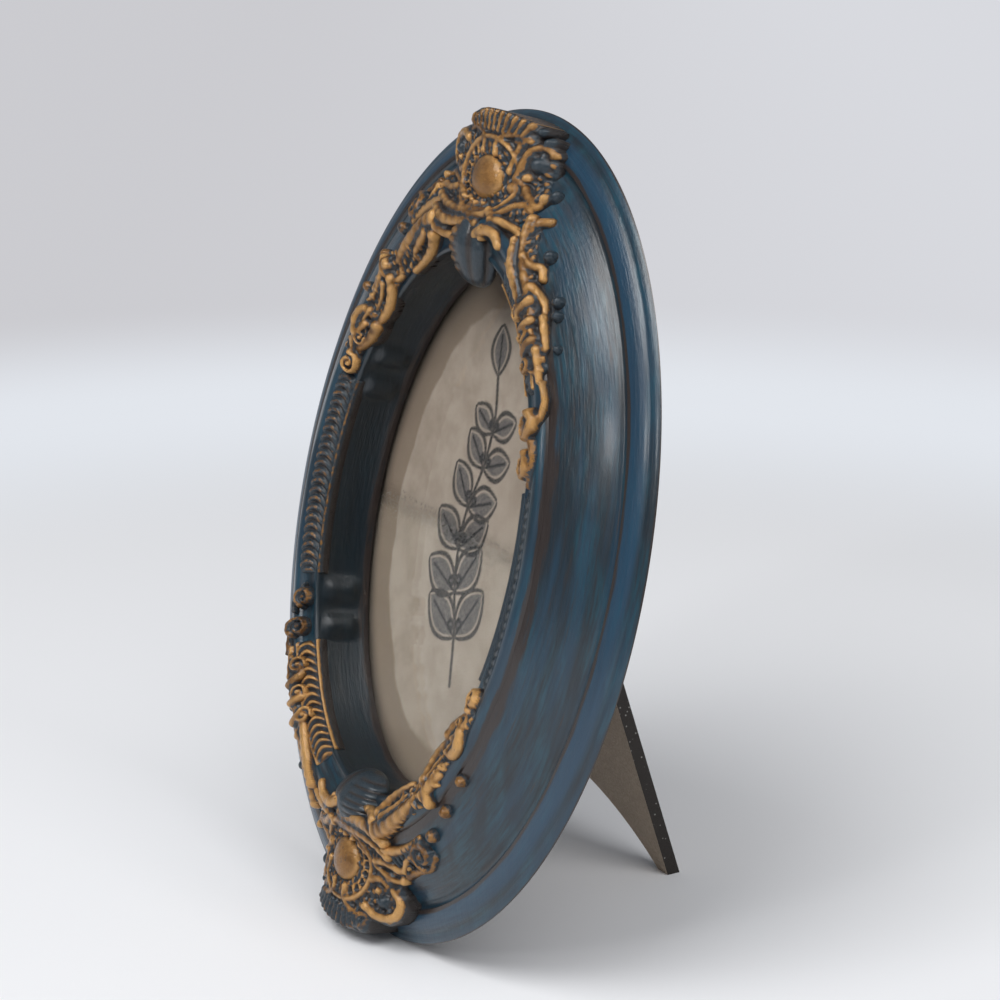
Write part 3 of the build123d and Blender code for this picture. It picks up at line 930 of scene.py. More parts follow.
    def lay_ring(self, relief: Relief) -> None:
        """Rim round the boss, with a pitted gold strip on the left of it and a thin line on the right."""
        strip, line = self.strip_thick, self.line_thick
        whole = self.around(self.ring_radii, np.linspace(0.0, 360.0, self.ring_points))
        relief.stroke(whole, (self.ring_thick, self.ring_thick), self.ring_rise, 1.0, 1.0)
        left = self.around(self.strip_radii, np.linspace(*self.strip_angles, self.strip_points))
        relief.stroke(left, (strip, strip), self.strip_rise, 1.0, 1.0)
        right = self.around(self.strip_radii, np.linspace(*self.line_angles, self.strip_points))
        relief.stroke(right, (line, line), self.line_rise, self.line_gild, 1.0)
        for spot in self.around(self.strip_radii, np.arange(*self.pit_angles)):
            relief.pit(tuple(spot), self.pit_radius, 0.0)

    def around(self, radii: Pair, degrees: Array) -> Array:
        """Points of an ellipse about the boss at the given angles."""
        angle = np.radians(degrees)
        return np.array(self.boss) + np.column_stack((radii[0] * np.cos(angle), radii[1] * np.sin(angle)))

    def dome(self, half: Half) -> Relief:
        """The boss, an oval dome."""
        relief = Relief(self.oval, self.boss_turns, self.boss_insets, half, self.level, self.falls)
        relief.bead(self.boss, self.boss_radii, self.boss_rise, 1.0)
        return relief


@dataclass(frozen=True)
class Drop:
    """Ribbed shell that hangs from the cartouche in front of the opening."""

    root: float = 64.6
    tip: float = 51.0
    root_depth: float = 16.6
    tip_depth: float = 13.2
    half_width: float = 7.4
    front: float = 4.8
    back: float = 3.2
    neck: Pair = (-0.55, 0.45)
    curl: float = 1.3
    ribs: int = 9
    rib_rise: float = 0.10
    beads: int = 7
    bead_rise: float = 0.08
    bead_side: Pair = (-0.15, 0.3)
    gild_fade: float = 0.6
    crown_range: Pair = (0.35, 1.0)
    hollow_level: float = 0.8
    rows: int = 72
    columns: int = 96
    sharp_angle: float = 60.0

    def build(self, name: str, half: Half, gild: float, place: Placement) -> Any:
        """Closed shell: half ellipses in front and behind, scalloped by ribs and beaded along the left side.

        With a share s of its length, the half width is its greatest one times the root of 1.01 - s**4, and
        it swells out from a narrower neck.

        Args:
            name: Name of the piece.
            half: Half of the oval on which it hangs.
            gild: Share of gold on the beads.
            place: Where the frame lies in the model.

        Returns:
            Object with its gilding, height and hollows on its points.
        """
        length = np.linspace(0.0, 1.0, self.rows)
        circle = np.linspace(0.0, 2 * math.pi, self.columns, endpoint=False)
        share, turn = np.meshgrid(length, circle, indexing="ij")
        taper = np.sqrt(1 - share ** 4 + 0.01) * eased(share, *self.neck)
        ahead = np.sin(turn) > 0
        scallop = np.abs(np.cos(self.ribs * turn / 2))
        left = np.where(ahead, eased(-np.cos(turn), *self.bead_side), 0.0)
        bead = np.abs(np.sin(self.beads * math.pi * share))
        swell = 1 + np.where(ahead, self.rib_rise * scallop * (1 - left) + self.bead_rise * bead * left, 0.0)
        x = self.half_width * taper * swell * np.cos(turn)
        y = self.root + (self.tip - self.root) * share
        thick = np.where(ahead, self.front, self.back)
        middle = self.root_depth + (self.tip_depth - self.root_depth) * share ** self.curl
        z = middle + thick * taper * swell * np.sin(turn)
        sign = half.value
        points = np.stack((sign * x, sign * y, z), -1).reshape(-1, 3)
        number = np.arange(x.size).reshape(x.shape)
        beside = np.roll(number, -1, 1)
        quads = np.stack((number[:-1], beside[:-1], beside[1:], number[1:]), -1).reshape(-1, 4)
        faces = quads.tolist() + [number[0, ::-1].tolist(), number[-1].tolist()]
        relief = np.where(left > 0.5, bead, scallop)
        low, high = self.crown_range
        attributes = {
            "gild": (gild * left * (1 - self.gild_fade * share)).ravel(),
            "crown": np.clip(low + (high - low) * relief, 0.0, 1.0).ravel(),
            # Hollows between the ribs, which the gilding darkens with undercoat and painted shade.
            "hollow": np.clip(self.hollow_level - relief, 0.0, 1.0).ravel(),
        }
        return make_object(name, place.to_model(points), faces, attributes, self.sharp_angle)


@dataclass(frozen=True)
class Spray:
    """Leaf spray that runs down from the cartouche along the crest on one side."""

    oval: Oval
    turns: Pair
    bed: tuple[Points, float, float]
    cords: tuple[tuple[Points, float, float, float, float], ...]
    leaves: tuple[tuple[Points, float, float, int, float], ...]
    volutes: tuple[tuple[float, float, float, float, float, float], ...]
    knobs: tuple[tuple[float, float, float, float], ...]
    wing: tuple[Points, int] | None = None
    insets: Pair = (8.0, 36.5)
    bed_rise: float = 0.4
    foliage_rise: float = 1.3
    foliage_gild: float = 0.85
    leaf_rise: float = 2.3
    volute_rise: float = 2.5
    knob_base: float = 0.6
    knob_share: float = 1.15
    feather_knee: Pair = (1.6, 0.3)
    feather_end: Pair = (3.4, 1.2)
    feather_radii: Pair = (0.75, 0.5)
    feather_rise: float = 1.6
    feather_gild: float = 0.3
    strip_points: int = 24
    strip_radii: Pair = (1.2, 0.9)
    strip_rise: float = 2.1

    def relief(self, half: Half) -> Relief:
        """Dark bed, cords, leaves, scroll ends, wing and knobs of the spray."""
        relief = Relief(self.oval, self.turns, self.insets, half)
        points, start, end = self.bed
        relief.cord(points, (start, end), self.bed_rise, 0.0, 1.0)
        relief.foliage(self.foliage_rise, self.foliage_gild)
        if self.wing is not None:
            self.lay_wing(relief, *self.wing)
        for points, start, end, rise, gild in self.cords:
            relief.cord(points, (start, end), rise, gild)
        for (root, tip), bend, width, fingers, gild in self.leaves:
            relief.leaf(root, tip, bend, width, fingers, self.leaf_rise, gild)
        for x, y, radius, start, turns, gild in self.volutes:
            relief.volute((x, y), radius, start, turns, self.volute_rise, gild)
        for x, y, radius, gild in self.knobs:
            relief.bead((x, y), (radius, radius), self.knob_base + self.knob_share * radius, gild)
        return relief

    def lay_wing(self, relief: Relief, line: Points, count: int) -> None:
        """Row of dull feathers on the outer side of a gold strip."""
        strip = smooth_line(line, count)
        for foot, way in zip(strip, np.gradient(strip, axis=0)):
            way = way / np.hypot(*way)
            out = np.array((way[1], -way[0]))
            knee = foot + self.feather_knee[0] * out + self.feather_knee[1] * way
            end = foot + self.feather_end[0] * out + self.feather_end[1] * way
            feather = (tuple(foot), tuple(knee), tuple(end))
            relief.cord(feather, self.feather_radii, self.feather_rise, self.feather_gild)
        relief.stroke(smooth_line(line, self.strip_points), self.strip_radii, self.strip_rise, 1.0)


def long_spray(oval: Oval) -> Spray:
    """Spray on the left of the top: winged strip, hooked leaf, twisted scrolls and a tip volute."""
    return Spray(
        oval, (0.290, 0.450),
        bed=(((-14.5, 60.5), (-20.5, 55.0), (-26.4, 49.6), (-30.4, 43.4), (-34.4, 36.4), (-38.0, 29.6)),
             3.4, 2.2),
        cords=(
            (((-13.2, 62.4), (-16.6, 60.6), (-20.0, 57.6), (-23.4, 54.2), (-25.2, 51.4)), 1.7, 1.0, 2.7, 1.0),
            (((-13.0, 59.4), (-14.2, 56.2), (-16.6, 53.4), (-20.2, 50.4)), 1.6, 0.9, 2.7, 1.0),
            (((-15.2, 59.6), (-18.2, 56.6), (-19.8, 54.2), (-18.4, 52.8)), 1.2, 0.8, 2.5, 1.0),
            (((-30.2, 50.4), (-29.2, 48.2), (-27.0, 47.2), (-24.8, 48.2), (-24.6, 50.2)), 1.2, 0.9, 2.5, 1.0),
            (((-28.6, 49.8), (-30.6, 46.6), (-32.6, 43.8)), 1.2, 0.8, 2.4, 1.0),
            (((-27.4, 47.4), (-27.4, 43.6), (-28.4, 40.4), (-30.6, 37.4)), 1.5, 1.1, 2.8, 1.0),
            (((-29.6, 45.8), (-30.4, 42.2), (-31.8, 39.6)), 1.0, 0.7, 2.3, 1.0),
            (((-37.4, 33.6), (-37.2, 36.6), (-35.4, 38.9), (-32.8, 38.6), (-31.0, 36.6)), 1.2, 1.0, 2.4, 1.0),
            (((-31.4, 36.0), (-32.6, 33.6), (-34.8, 31.4), (-36.6, 30.0)), 1.7, 1.0, 2.7, 0.85),
            (((-34.6, 36.0), (-36.6, 34.0), (-38.2, 31.4), (-38.0, 29.2)), 1.1, 0.8, 2.4, 1.0),
            (((-21.4, 69.2), (-24.6, 67.0), (-28.0, 65.2), (-29.6, 62.4)), 0.9, 0.8, 1.9, 0.6),
            (((-20.6, 68.2), (-21.4, 66.0), (-22.8, 64.4)), 0.9, 0.7, 2.0, 1.0),
        ),
        leaves=(
            (((-16.0, 61.0), (-22.6, 53.4)), -0.8, 2.4, 4, 1.0),
            (((-30.2, 47.0), (-33.8, 41.4)), 0.5, 1.8, 3, 1.0),
            (((-33.4, 39.4), (-37.4, 31.0)), -0.6, 1.9, 3, 1.0),
        ),
        volutes=(
            (-26.8, 62.6, 2.6, 100.0, -1.5, 0.55),
            (-38.6, 26.4, 2.5, 90.0, -1.4, 1.0),
            (-36.0, 32.8, 1.7, 0.0, -1.3, 0.9),
        ),
        knobs=(
            (-29.8, 57.6, 1.4, 0.5),
            (-33.8, 51.0, 1.4, 0.6),
            (-37.8, 43.2, 1.3, 0.6),
        ),
        wing=(((-13.6, 66.4), (-18.0, 65.2), (-22.4, 62.8), (-25.8, 59.8)), 10),
    )


def knobbed_spray(oval: Oval) -> Spray:
    """Spray on the right of the top: leaf clusters on the crest and blue knobs along their outer side."""
    return Spray(
        oval, (0.062, 0.205),
        bed=(((19.0, 65.0), (22.2, 59.4), (27.2, 53.6), (31.6, 47.8), (36.0, 41.0)), 2.9, 2.0),
        cords=(
            (((18.8, 67.4), (19.4, 64.2), (21.4, 60.4), (25.0, 56.2), (28.6, 52.4), (31.6, 47.8),
              (34.4, 44.0)), 1.5, 0.9, 2.5, 1.0),
            (((18.0, 62.6), (20.0, 58.8), (23.4, 55.0), (26.6, 51.2)), 1.4, 1.0, 2.8, 1.0),
            (((19.4, 65.6), (20.6, 67.4), (22.8, 68.2)), 1.3, 1.0, 2.1, 0.8),
            (((21.8, 60.2), (24.4, 59.0), (27.0, 59.2), (28.4, 57.4)), 1.5, 0.9, 2.4, 1.0),
            (((27.0, 55.0), (29.6, 54.0), (31.8, 52.6), (33.0, 50.4)), 1.4, 0.9, 2.4, 1.0),
            (((28.8, 52.6), (27.2, 50.6), (26.0, 49.4)), 1.4, 1.0, 3.0, 1.0),
            (((31.0, 49.0), (29.4, 47.4), (28.4, 46.6)), 1.3, 0.9, 2.9, 1.0),
            (((33.0, 50.2), (34.4, 47.4), (35.8, 45.0)), 1.2, 0.9, 2.3, 1.0),
            (((33.2, 45.6), (31.8, 42.8), (32.8, 40.6)), 1.4, 1.0, 2.8, 0.8),
            (((34.6, 44.2), (36.2, 41.4), (37.6, 38.6)), 1.1, 0.8, 2.3, 1.0),
        ),
        leaves=(
            (((20.6, 61.6), (24.6, 55.2)), 0.8, 2.4, 4, 1.0),
            (((26.6, 54.6), (30.6, 48.4)), 0.8, 2.2, 3, 1.0),
            (((32.0, 47.4), (36.0, 41.0)), 0.7, 1.9, 3, 1.0),
        ),
        volutes=(
            (26.2, 50.6, 1.9, 200.0, 1.3, 1.0),
            (30.2, 46.6, 1.7, 200.0, 1.3, 1.0),
            (33.2, 41.2, 1.9, 200.0, 1.3, 0.8),
        ),
        knobs=(
            (27.4, 61.8, 1.4, 0.06),
            (34.2, 54.0, 1.3, 0.06),
            (35.4, 51.4, 1.2, 0.06),
            (38.4, 45.4, 1.0, 0.15),
        ),
    )


@dataclass(frozen=True)
class ScrollPair:
    """Two volutes on the crest with the thin scrolls that lead into them and out of them."""

    oval: Oval
    centres: Points
    radius: float
    gild: float
    turns: Pair = (0.036, 0.120)
    insets: Pair = (15.0, 36.5)
    lead: Points = ((0.3, 2.8), (0.9, 1.8), (1.0, 0.8), (0.8, -0.2))
    lead_radii: Pair = (0.22, 0.32)
    lead_rise: float = 2.3
    tail: Points = ((0.6, 1.7), (1.0, 0.8), (1.0, -0.2), (0.7, -1.2))
    tail_radii: Pair = (0.25, 0.2)
    tail_rise: float = 2.1
    tail_gild: float = 0.7
    coil: float = -1.5
    coil_starts: Pair = (70.0, 80.0)
    coil_rises: Pair = (3.0, 2.9)
    last_size: float = 0.95

    def relief(self, half: Half) -> Relief:
        """Both volutes and their scrolls, whose places and half widths are multiples of the radius."""
        relief = Relief(self.oval, self.turns, self.insets, half)
        first, last = self.centres
        sizes = (self.radius, self.last_size * self.radius)
        relief.cord(self.beside(first, self.lead), self.scaled(self.lead_radii), self.lead_rise, self.gild)
        for centre, size, start, rise in zip(self.centres, sizes, self.coil_starts, self.coil_rises):
            relief.volute(centre, size, start, self.coil, rise, self.gild)
        tail_gild = self.tail_gild * self.gild
        relief.cord(self.beside(last, self.tail), self.scaled(self.tail_radii), self.tail_rise, tail_gild)
        return relief

    def scaled(self, pair: Pair) -> Pair:
        """Multiples of the radius in millimetres."""
        return (pair[0] * self.radius, pair[1] * self.radius)

    def beside(self, centre: Pair, points: Points) -> Points:
        """Points given in multiples of the radius from a centre."""
        return tuple((centre[0] + x * self.radius, centre[1] + y * self.radius) for x, y in points)


@dataclass(frozen=True)
class GadroonBand:
    """Row of crescent ribs on the inward band, with a rolled edge along the fillet."""

    oval: Oval
    turns: Pair
    outer_line: bool = False
    pitch: float = 2.1
    sag: float = -1.8
    rib_rise: float = 1.3
    bed_rise: float = 0.2
    roundness: float = 0.8
    gild_range: Pair = (0.45, 0.95)
    start_inset: float = 1.2
    edge_radius: float = 0.42
    edge_rise: float = 0.9
    edge_end: float = 0.05
    edge_gild: float = 0.9
    reach: float = 0.9

    def relief(self, half: Half, gild: float) -> Relief:
        """Ribs whose middles bow along the band, and which fall off towards both of its edges.

        Args:
            half: Half of the oval on which the band lies.
            gild: Share of gold on the ribs.

        Returns:
            The patch.
        """
        oval = self.oval
        insets = (oval.cushion_inset + self.start_inset, oval.fillet_inset + self.reach)
        relief = Relief(oval, self.turns, insets, half)
        x, y = relief.x[:, 0], relief.y[:, 0]
        run = np.concatenate(((0.0,), np.cumsum(np.hypot(np.diff(x), np.diff(y)))))
        count = max(round(run[-1] / self.pitch), 1)
        middle = (oval.crest_inset + oval.band_inset) / 2
        half_width = oval.band_width / 2 + self.reach
        across = (relief.inset - middle) / half_width
        phase = (run[:, None] + self.sag * across ** 2) / run[-1] * count
        wave = np.abs(np.sin(math.pi * phase)) ** self.roundness
        body = np.sqrt(np.clip(1 - across ** 2, 0.0, 1.0))
        ends = eased(run, 0.0, self.pitch) * (1 - eased(run, run[-1] - self.pitch, run[-1]))
        rib = (self.bed_rise + self.rib_rise * wave) * body * ends[:, None]
        tops = gild * eased(wave, *self.gild_range)
        relief.lay(np.where((np.abs(across) < 1) & (ends[:, None] > 0), rib, relief.sunk), tops)
        self.lay_edge(relief, oval.fillet_inset, ends)
        if self.outer_line:
            self.lay_edge(relief, oval.crest_inset - self.reach, ends)
        return relief

    def lay_edge(self, relief: Relief, inset: float, ends: Array) -> None:
        """Thin rolled edge along the band at an inset."""
        off = np.abs(relief.inset - inset) / self.edge_radius
        fall = -relief.flank * self.edge_radius * (off - 1)
        edge = np.where(off < 1, self.edge_rise * np.sqrt(np.clip(1 - off ** 2, 0.0, 1.0)), fall)
        relief.lay(np.where(ends[:, None] > self.edge_end, edge, relief.sunk), self.edge_gild)


# Shader building


class Shade:
    """Short calls that add and join the nodes of one tree."""

    def __init__(self, tree: Any) -> None:
        """Starts from an empty tree."""
        self.tree = tree
        self.tree.nodes.clear()

    def add(self, kind: str, inputs: dict[Any, Any] | None = None, **settings: Any) -> Any:
        """New node, with its settings, and its inputs either joined or set.

        Args:
            kind: Type of the node.
            inputs: Sockets or plain values by the input's name or number.
            settings: Properties of the node.

        Returns:
            The node.
        """
        node = self.tree.nodes.new(kind)
        for label, value in settings.items():
            setattr(node, label, value)
        for key, value in (inputs or {}).items():
            if isinstance(value, bpy.types.NodeSocket):
                self.tree.links.new(value, node.inputs[key])
            else:
                node.inputs[key].default_value = value
        return node

    def value(self, operation: str, first: Any, second: Any = 0.0) -> Any:
        """Result of a sum, product or other operation on two values."""
        return self.add("ShaderNodeMath", {0: first, 1: second}, operation=operation).outputs[0]

    def times(self, first: Any, second: Any) -> Any:
        """Product of two values."""
        return self.value("MULTIPLY", first, second)

    def step(self, source: Any, low: Any, high: Any) -> Any:
        """Smooth step of a value between two limits."""
        limits = {"Value": source, "From Min": low, "From Max": high}
        return self.add("ShaderNodeMapRange", limits, interpolation_type="SMOOTHSTEP").outputs["Result"]

    def span(self, source: Any, low: float, high: float) -> Any:
        """Value from 0 to 1 carried to another range."""
        limits = {"Value": source, "To Min": low, "To Max": high}
        return self.add("ShaderNodeMapRange", limits).outputs["Result"]

    def blend(self, share: Any, first: Any, second: Any) -> Any:
        """Colour between two others."""
        parts = {0: share}
        for key, part in ((6, first), (7, second)):
            parts[key] = part if isinstance(part, bpy.types.NodeSocket) else (*part, 1.0)
        return self.add("ShaderNodeMix", parts, data_type="RGBA").outputs[2]

    def noise(self, where: Any, scale: Any, detail: float, roughness: float) -> Any:
        """Cloud noise from 0 to 1."""
        parts = {"Vector": where, "Scale": scale, "Detail": detail, "Roughness": roughness}
        return self.add("ShaderNodeTexNoise", parts).outputs[0]

    def attribute(self, label: str, vector: bool = False) -> Any:
        """Named value carried by the mesh's points."""
        node = self.add("ShaderNodeAttribute", attribute_name=label)
        return node.outputs["Vector" if vector else "Fac"]

    def place(self) -> Any:
        """Object coordinates, in metres."""
        return self.add("ShaderNodeTexCoord").outputs["Object"]

    def stretched(self, where: Any, scale: tuple[float, float, float]) -> Any:
        """Coordinates scaled along their axes."""
        return self.add("ShaderNodeMapping", {"Vector": where, "Scale": scale}).outputs[0]

    def effect(self, name: str, **inputs: Any) -> Any:
        """Placed copy of a shared effect, with its inputs given by name."""
        node = self.add("ShaderNodeGroup", node_tree=bpy.data.node_groups[name])
        for label, value in inputs.items():
            socket = node.inputs[label.replace("_", " ").capitalize()]
            if isinstance(value, bpy.types.NodeSocket):
                self.tree.links.new(value, socket)
            else:
                socket.default_value = value
        return node

    def bump(self, height: Any, distance: float) -> Any:
        """Normal tilted by a height, whose full step is a distance in metres."""
        parts = {"Height": height, "Distance": distance, "Strength": 1.0}
        return self.add("ShaderNodeBump", parts).outputs["Normal"]

    def surface(self, **inputs: Any) -> Any:
        """Principled surface, with its inputs given by name."""
        named = {label.replace("_", " "): value for label, value in inputs.items()}
        return self.add("ShaderNodeBsdfPrincipled", named)

    def out(self, shader: Any) -> None:
        """Joins a shader to the material's output."""
        self.add("ShaderNodeOutputMaterial", {"Surface": shader})


def new_effect(name: str, inputs: tuple[str, ...], outputs: tuple[str, ...]) -> tuple[Shade, Any, Any]:
    """Empty shared effect whose first input is a vector and whose other inputs and outputs are values.

    Args:
        name: Name of the effect.
        inputs: Names of its inputs after Where.
        outputs: Names of its outputs.

    Returns:
        The tree, its input node and its output node.
    """
    tree = bpy.data.node_groups.new(name, "ShaderNodeTree")
    tree.interface.new_socket(name="Where", in_out="INPUT", socket_type="NodeSocketVector")
    for label in inputs:
        tree.interface.new_socket(name=label, in_out="INPUT", socket_type="NodeSocketFloat")
    for label in outputs:
        tree.interface.new_socket(name=label, in_out="OUTPUT", socket_type="NodeSocketFloat")
    shade = Shade(tree)
    return shade, shade.add("NodeGroupInput"), shade.add("NodeGroupOutput")


def make_brush_effect() -> None:
    """Brush streaks: fine noise drawn out along the stroke, over broad patches where the brush ran dry."""
    shade, entry, leave = new_effect("brush_streaks", ("Fineness",), ("Streak", "Patch"))
    where, fineness = entry.outputs["Where"], entry.outputs["Fineness"]
    fine = shade.noise(where, fineness, detail=4.0, roughness=0.62)
    broad = shade.noise(where, shade.times(fineness, 0.22), detail=2.0, roughness=0.5)
    shade.tree.links.new(shade.step(fine, 0.3, 0.7), leave.inputs["Streak"])
    shade.tree.links.new(shade.step(broad, 0.34, 0.66), leave.inputs["Patch"])


def make_rub_effect() -> None:
    """Rubbed edge: a mask breaks up where noise lifts it over a level."""
    shade, entry, leave = new_effect("rubbed_edge", ("Mask", "Level", "Fineness"), ("Rubbed",))
    fine = shade.noise(entry.outputs["Where"], entry.outputs["Fineness"], detail=4.0, roughness=0.6)
    loose = shade.times(shade.value("SUBTRACT", fine, 0.5), 0.9)
    raised = shade.value("ADD", entry.outputs["Mask"], loose)
    low = shade.value("SUBTRACT", entry.outputs["Level"], 0.12)
    high = shade.value("ADD", entry.outputs["Level"], 0.12)
    shade.tree.links.new(shade.step(raised, low, high), leave.inputs["Rubbed"])


def make_grain_effect() -> None:
    """Fine grain: small pits and flecks over a soft mottle."""
    shade, entry, leave = new_effect("fine_grain", ("Fineness",), ("Grain", "Mottle", "Fleck"))
    where, fineness = entry.outputs["Where"], entry.outputs["Fineness"]
    grain = shade.noise(where, fineness, detail=5.0, roughness=0.7)
    mottle = shade.noise(where, shade.times(fineness, 0.07), detail=4.0, roughness=0.6)
    spots = shade.add("ShaderNodeTexVoronoi", {"Vector": where, "Scale": shade.times(fineness, 0.45)})
    fleck = shade.value("SUBTRACT", 1.0, shade.step(spots.outputs["Distance"], 0.08, 0.2))
    shade.tree.links.new(shade.step(grain, 0.3, 0.7), leave.inputs["Grain"])
    shade.tree.links.new(shade.step(mottle, 0.32, 0.68), leave.inputs["Mottle"])
    shade.tree.links.new(fleck, leave.inputs["Fleck"])


def new_material(name: str) -> tuple[Any, Shade]:
    """Empty node material and its tree."""
    material = bpy.data.materials.new(name)
    material.use_nodes = True
    return material, Shade(material.node_tree)


# Finishes


@dataclass(frozen=True)
class BrushedPaint:
    """Satin blue paint, brushed along the moulding over a dark brown undercoat."""

    deep: Colour = (0.006, 0.011, 0.017)
    blue: Colour = (0.007, 0.029, 0.054)
    teal: Colour = (0.010, 0.076, 0.112)
    ridge: Colour = (0.009, 0.048, 0.098)
    undercoat: Colour = (0.022, 0.015, 0.013)
    # Painted shade for the inner wall.
    shaded: Colour = (0.002, 0.006, 0.009)
    stretch: tuple[float, float, float] = (9.0, 9.0, 1.5)
    hatch_stretch: tuple[float, float, float] = (900.0, 900.0, 160.0)
    hatch_range: Pair = (0.1, 0.75)
    hatch_height: float = 0.5
    bare_level: float = 0.5
    bare_fineness: float = 0.8
    teal_share: float = 0.7
    ridge_share: float = 0.5
    wall_shade_share: float = 0.88
    roughness: Pair = (0.40, 0.28)
    streak_depth: float = 0.00004
    coat: Pair = (0.35, 0.18)

    def material(self) -> Any:
        """Builds the material from the brush direction, lip, bare undercoat and painted wall shade on the
        mesh.
        """
        material, shade = new_material("brushed_blue_paint")
        brush = shade.stretched(shade.attribute("brush", True), self.stretch)
        place = shade.place()
        streaks = shade.effect("brush_streaks", where=brush, fineness=1.0)
        hatch = shade.effect("brush_streaks", where=shade.stretched(place, self.hatch_stretch), fineness=1.0)
        rubbed = shade.effect("rubbed_edge", where=brush, mask=shade.attribute("bare"),
                              level=self.bare_level, fineness=self.bare_fineness)
        streak = streaks.outputs["Streak"]
        paint = shade.blend(streaks.outputs["Patch"], self.deep, self.blue)
        bright = shade.times(streak, shade.span(hatch.outputs["Patch"], *self.hatch_range))
        paint = shade.blend(shade.times(bright, self.teal_share), paint, self.teal)
        paint = shade.blend(shade.times(shade.attribute("ridge"), self.ridge_share), paint, self.ridge)
        # Painted shade: the inner wall darkened towards the shaded colour.
        paint = shade.blend(shade.times(shade.attribute("inner"), self.wall_shade_share), paint, self.shaded)
        colour = shade.blend(rubbed.outputs["Rubbed"], paint, self.undercoat)
        rough = shade.span(streak, *self.roughness)
        height = shade.value("ADD", streak, shade.times(hatch.outputs["Streak"], self.hatch_height))
        normal = shade.bump(height, self.streak_depth)
        body = shade.surface(Base_Color=colour, Roughness=rough, Normal=normal,
                             Coat_Weight=self.coat[0], Coat_Roughness=self.coat[1])
        shade.out(body.outputs[0])
        return material


@dataclass(frozen=True)
class RubbedGilding:
    """Gold paint wiped over the relief's tops, with blue paint, undercoat and painted shade in the hollows.
    """

    gold: Colour = (0.37, 0.185, 0.056)
    # Painted highlight: lighter gold laid on the highest tops.
    bright: Colour = (0.72, 0.410, 0.150)
    red_gold: Colour = (0.14, 0.064, 0.021)
    ground: Colour = (0.010, 0.024, 0.036)
    undercoat: Colour = (0.018, 0.012, 0.010)
    tops_range: Pair = (0.1, 1.0)
    hollow_share: float = 0.6
    # Hollows darken from the blue ground to the undercoat: the antiquing in them, and painted shade.
    hollow_shade_range: Pair = (0.05, 0.6)
    rub_level: float = 0.45
    rub_fineness: float = 1100.0
    grain_fineness: float = 2400.0
    highlight_range: Pair = (0.6, 1.0)
    highlight_share: float = 0.8
    roughness: Pair = (0.26, 0.42)
    grain_depth: float = 0.00010
    metal: float = 0.85
    coat: Pair = (0.4, 0.12)

    def material(self) -> Any:
        """Builds the material from the gilding, height and hollows on the mesh."""
        material, shade = new_material("rubbed_gilding")
        place = shade.place()
        crown = shade.attribute("crown")
        hollow = shade.attribute("hollow")
        tops = shade.times(shade.attribute("gild"), shade.span(crown, *self.tops_range))
        tops = shade.value("SUBTRACT", tops, shade.times(hollow, self.hollow_share))
        rubbed = shade.effect("rubbed_edge", where=place, mask=tops,
                              level=self.rub_level, fineness=self.rub_fineness)
        grain = shade.effect("fine_grain", where=place, fineness=self.grain_fineness)
        gold = shade.blend(grain.outputs["Mottle"], self.gold, self.red_gold)
        # Painted highlight on the highest tops.
        bright = shade.times(shade.step(tops, *self.highlight_range), self.highlight_share)
        gold = shade.blend(bright, gold, self.bright)
        # Hollows turn to the undercoat: the antiquing in them, and painted shade as well.
        ground = shade.blend(shade.step(hollow, *self.hollow_shade_range), self.ground, self.undercoat)
        share = rubbed.outputs["Rubbed"]
        colour = shade.blend(share, ground, gold)
        rough = shade.span(grain.outputs["Grain"], *self.roughness)
        normal = shade.bump(grain.outputs["Grain"], self.grain_depth)
        body = shade.surface(Base_Color=colour, Roughness=rough, Normal=normal,
                             Metallic=shade.times(share, self.metal),
                             Coat_Weight=self.coat[0], Coat_Roughness=self.coat[1])
        shade.out(body.outputs[0])
        return material


@dataclass(frozen=True)
class PaneGlass:
    """Clear pane with little reflection, which lets the lamps through to the picture."""

    tint: Colour = (0.97, 0.985, 0.98)
    roughness: float = 0.02
    index: float = 1.2

    def material(self) -> Any:
        """Bends what is seen through it, and is clear for the light that falls through it."""
        material, shade = new_material("pane_glass")
        tint = (*self.tint, 1.0)
        glass = shade.surface(Base_Color=tint, Roughness=self.roughness, IOR=self.index,
                              Transmission_Weight=1.0)
        clear = shade.add("ShaderNodeBsdfTransparent", {"Color": tint})
        path = shade.add("ShaderNodeLightPath")
        mixed = shade.add("ShaderNodeMixShader", {
            0: path.outputs["Is Shadow Ray"], 1: glass.outputs[0], 2: clear.outputs[0]})
        shade.out(mixed.outputs[0])
        return material


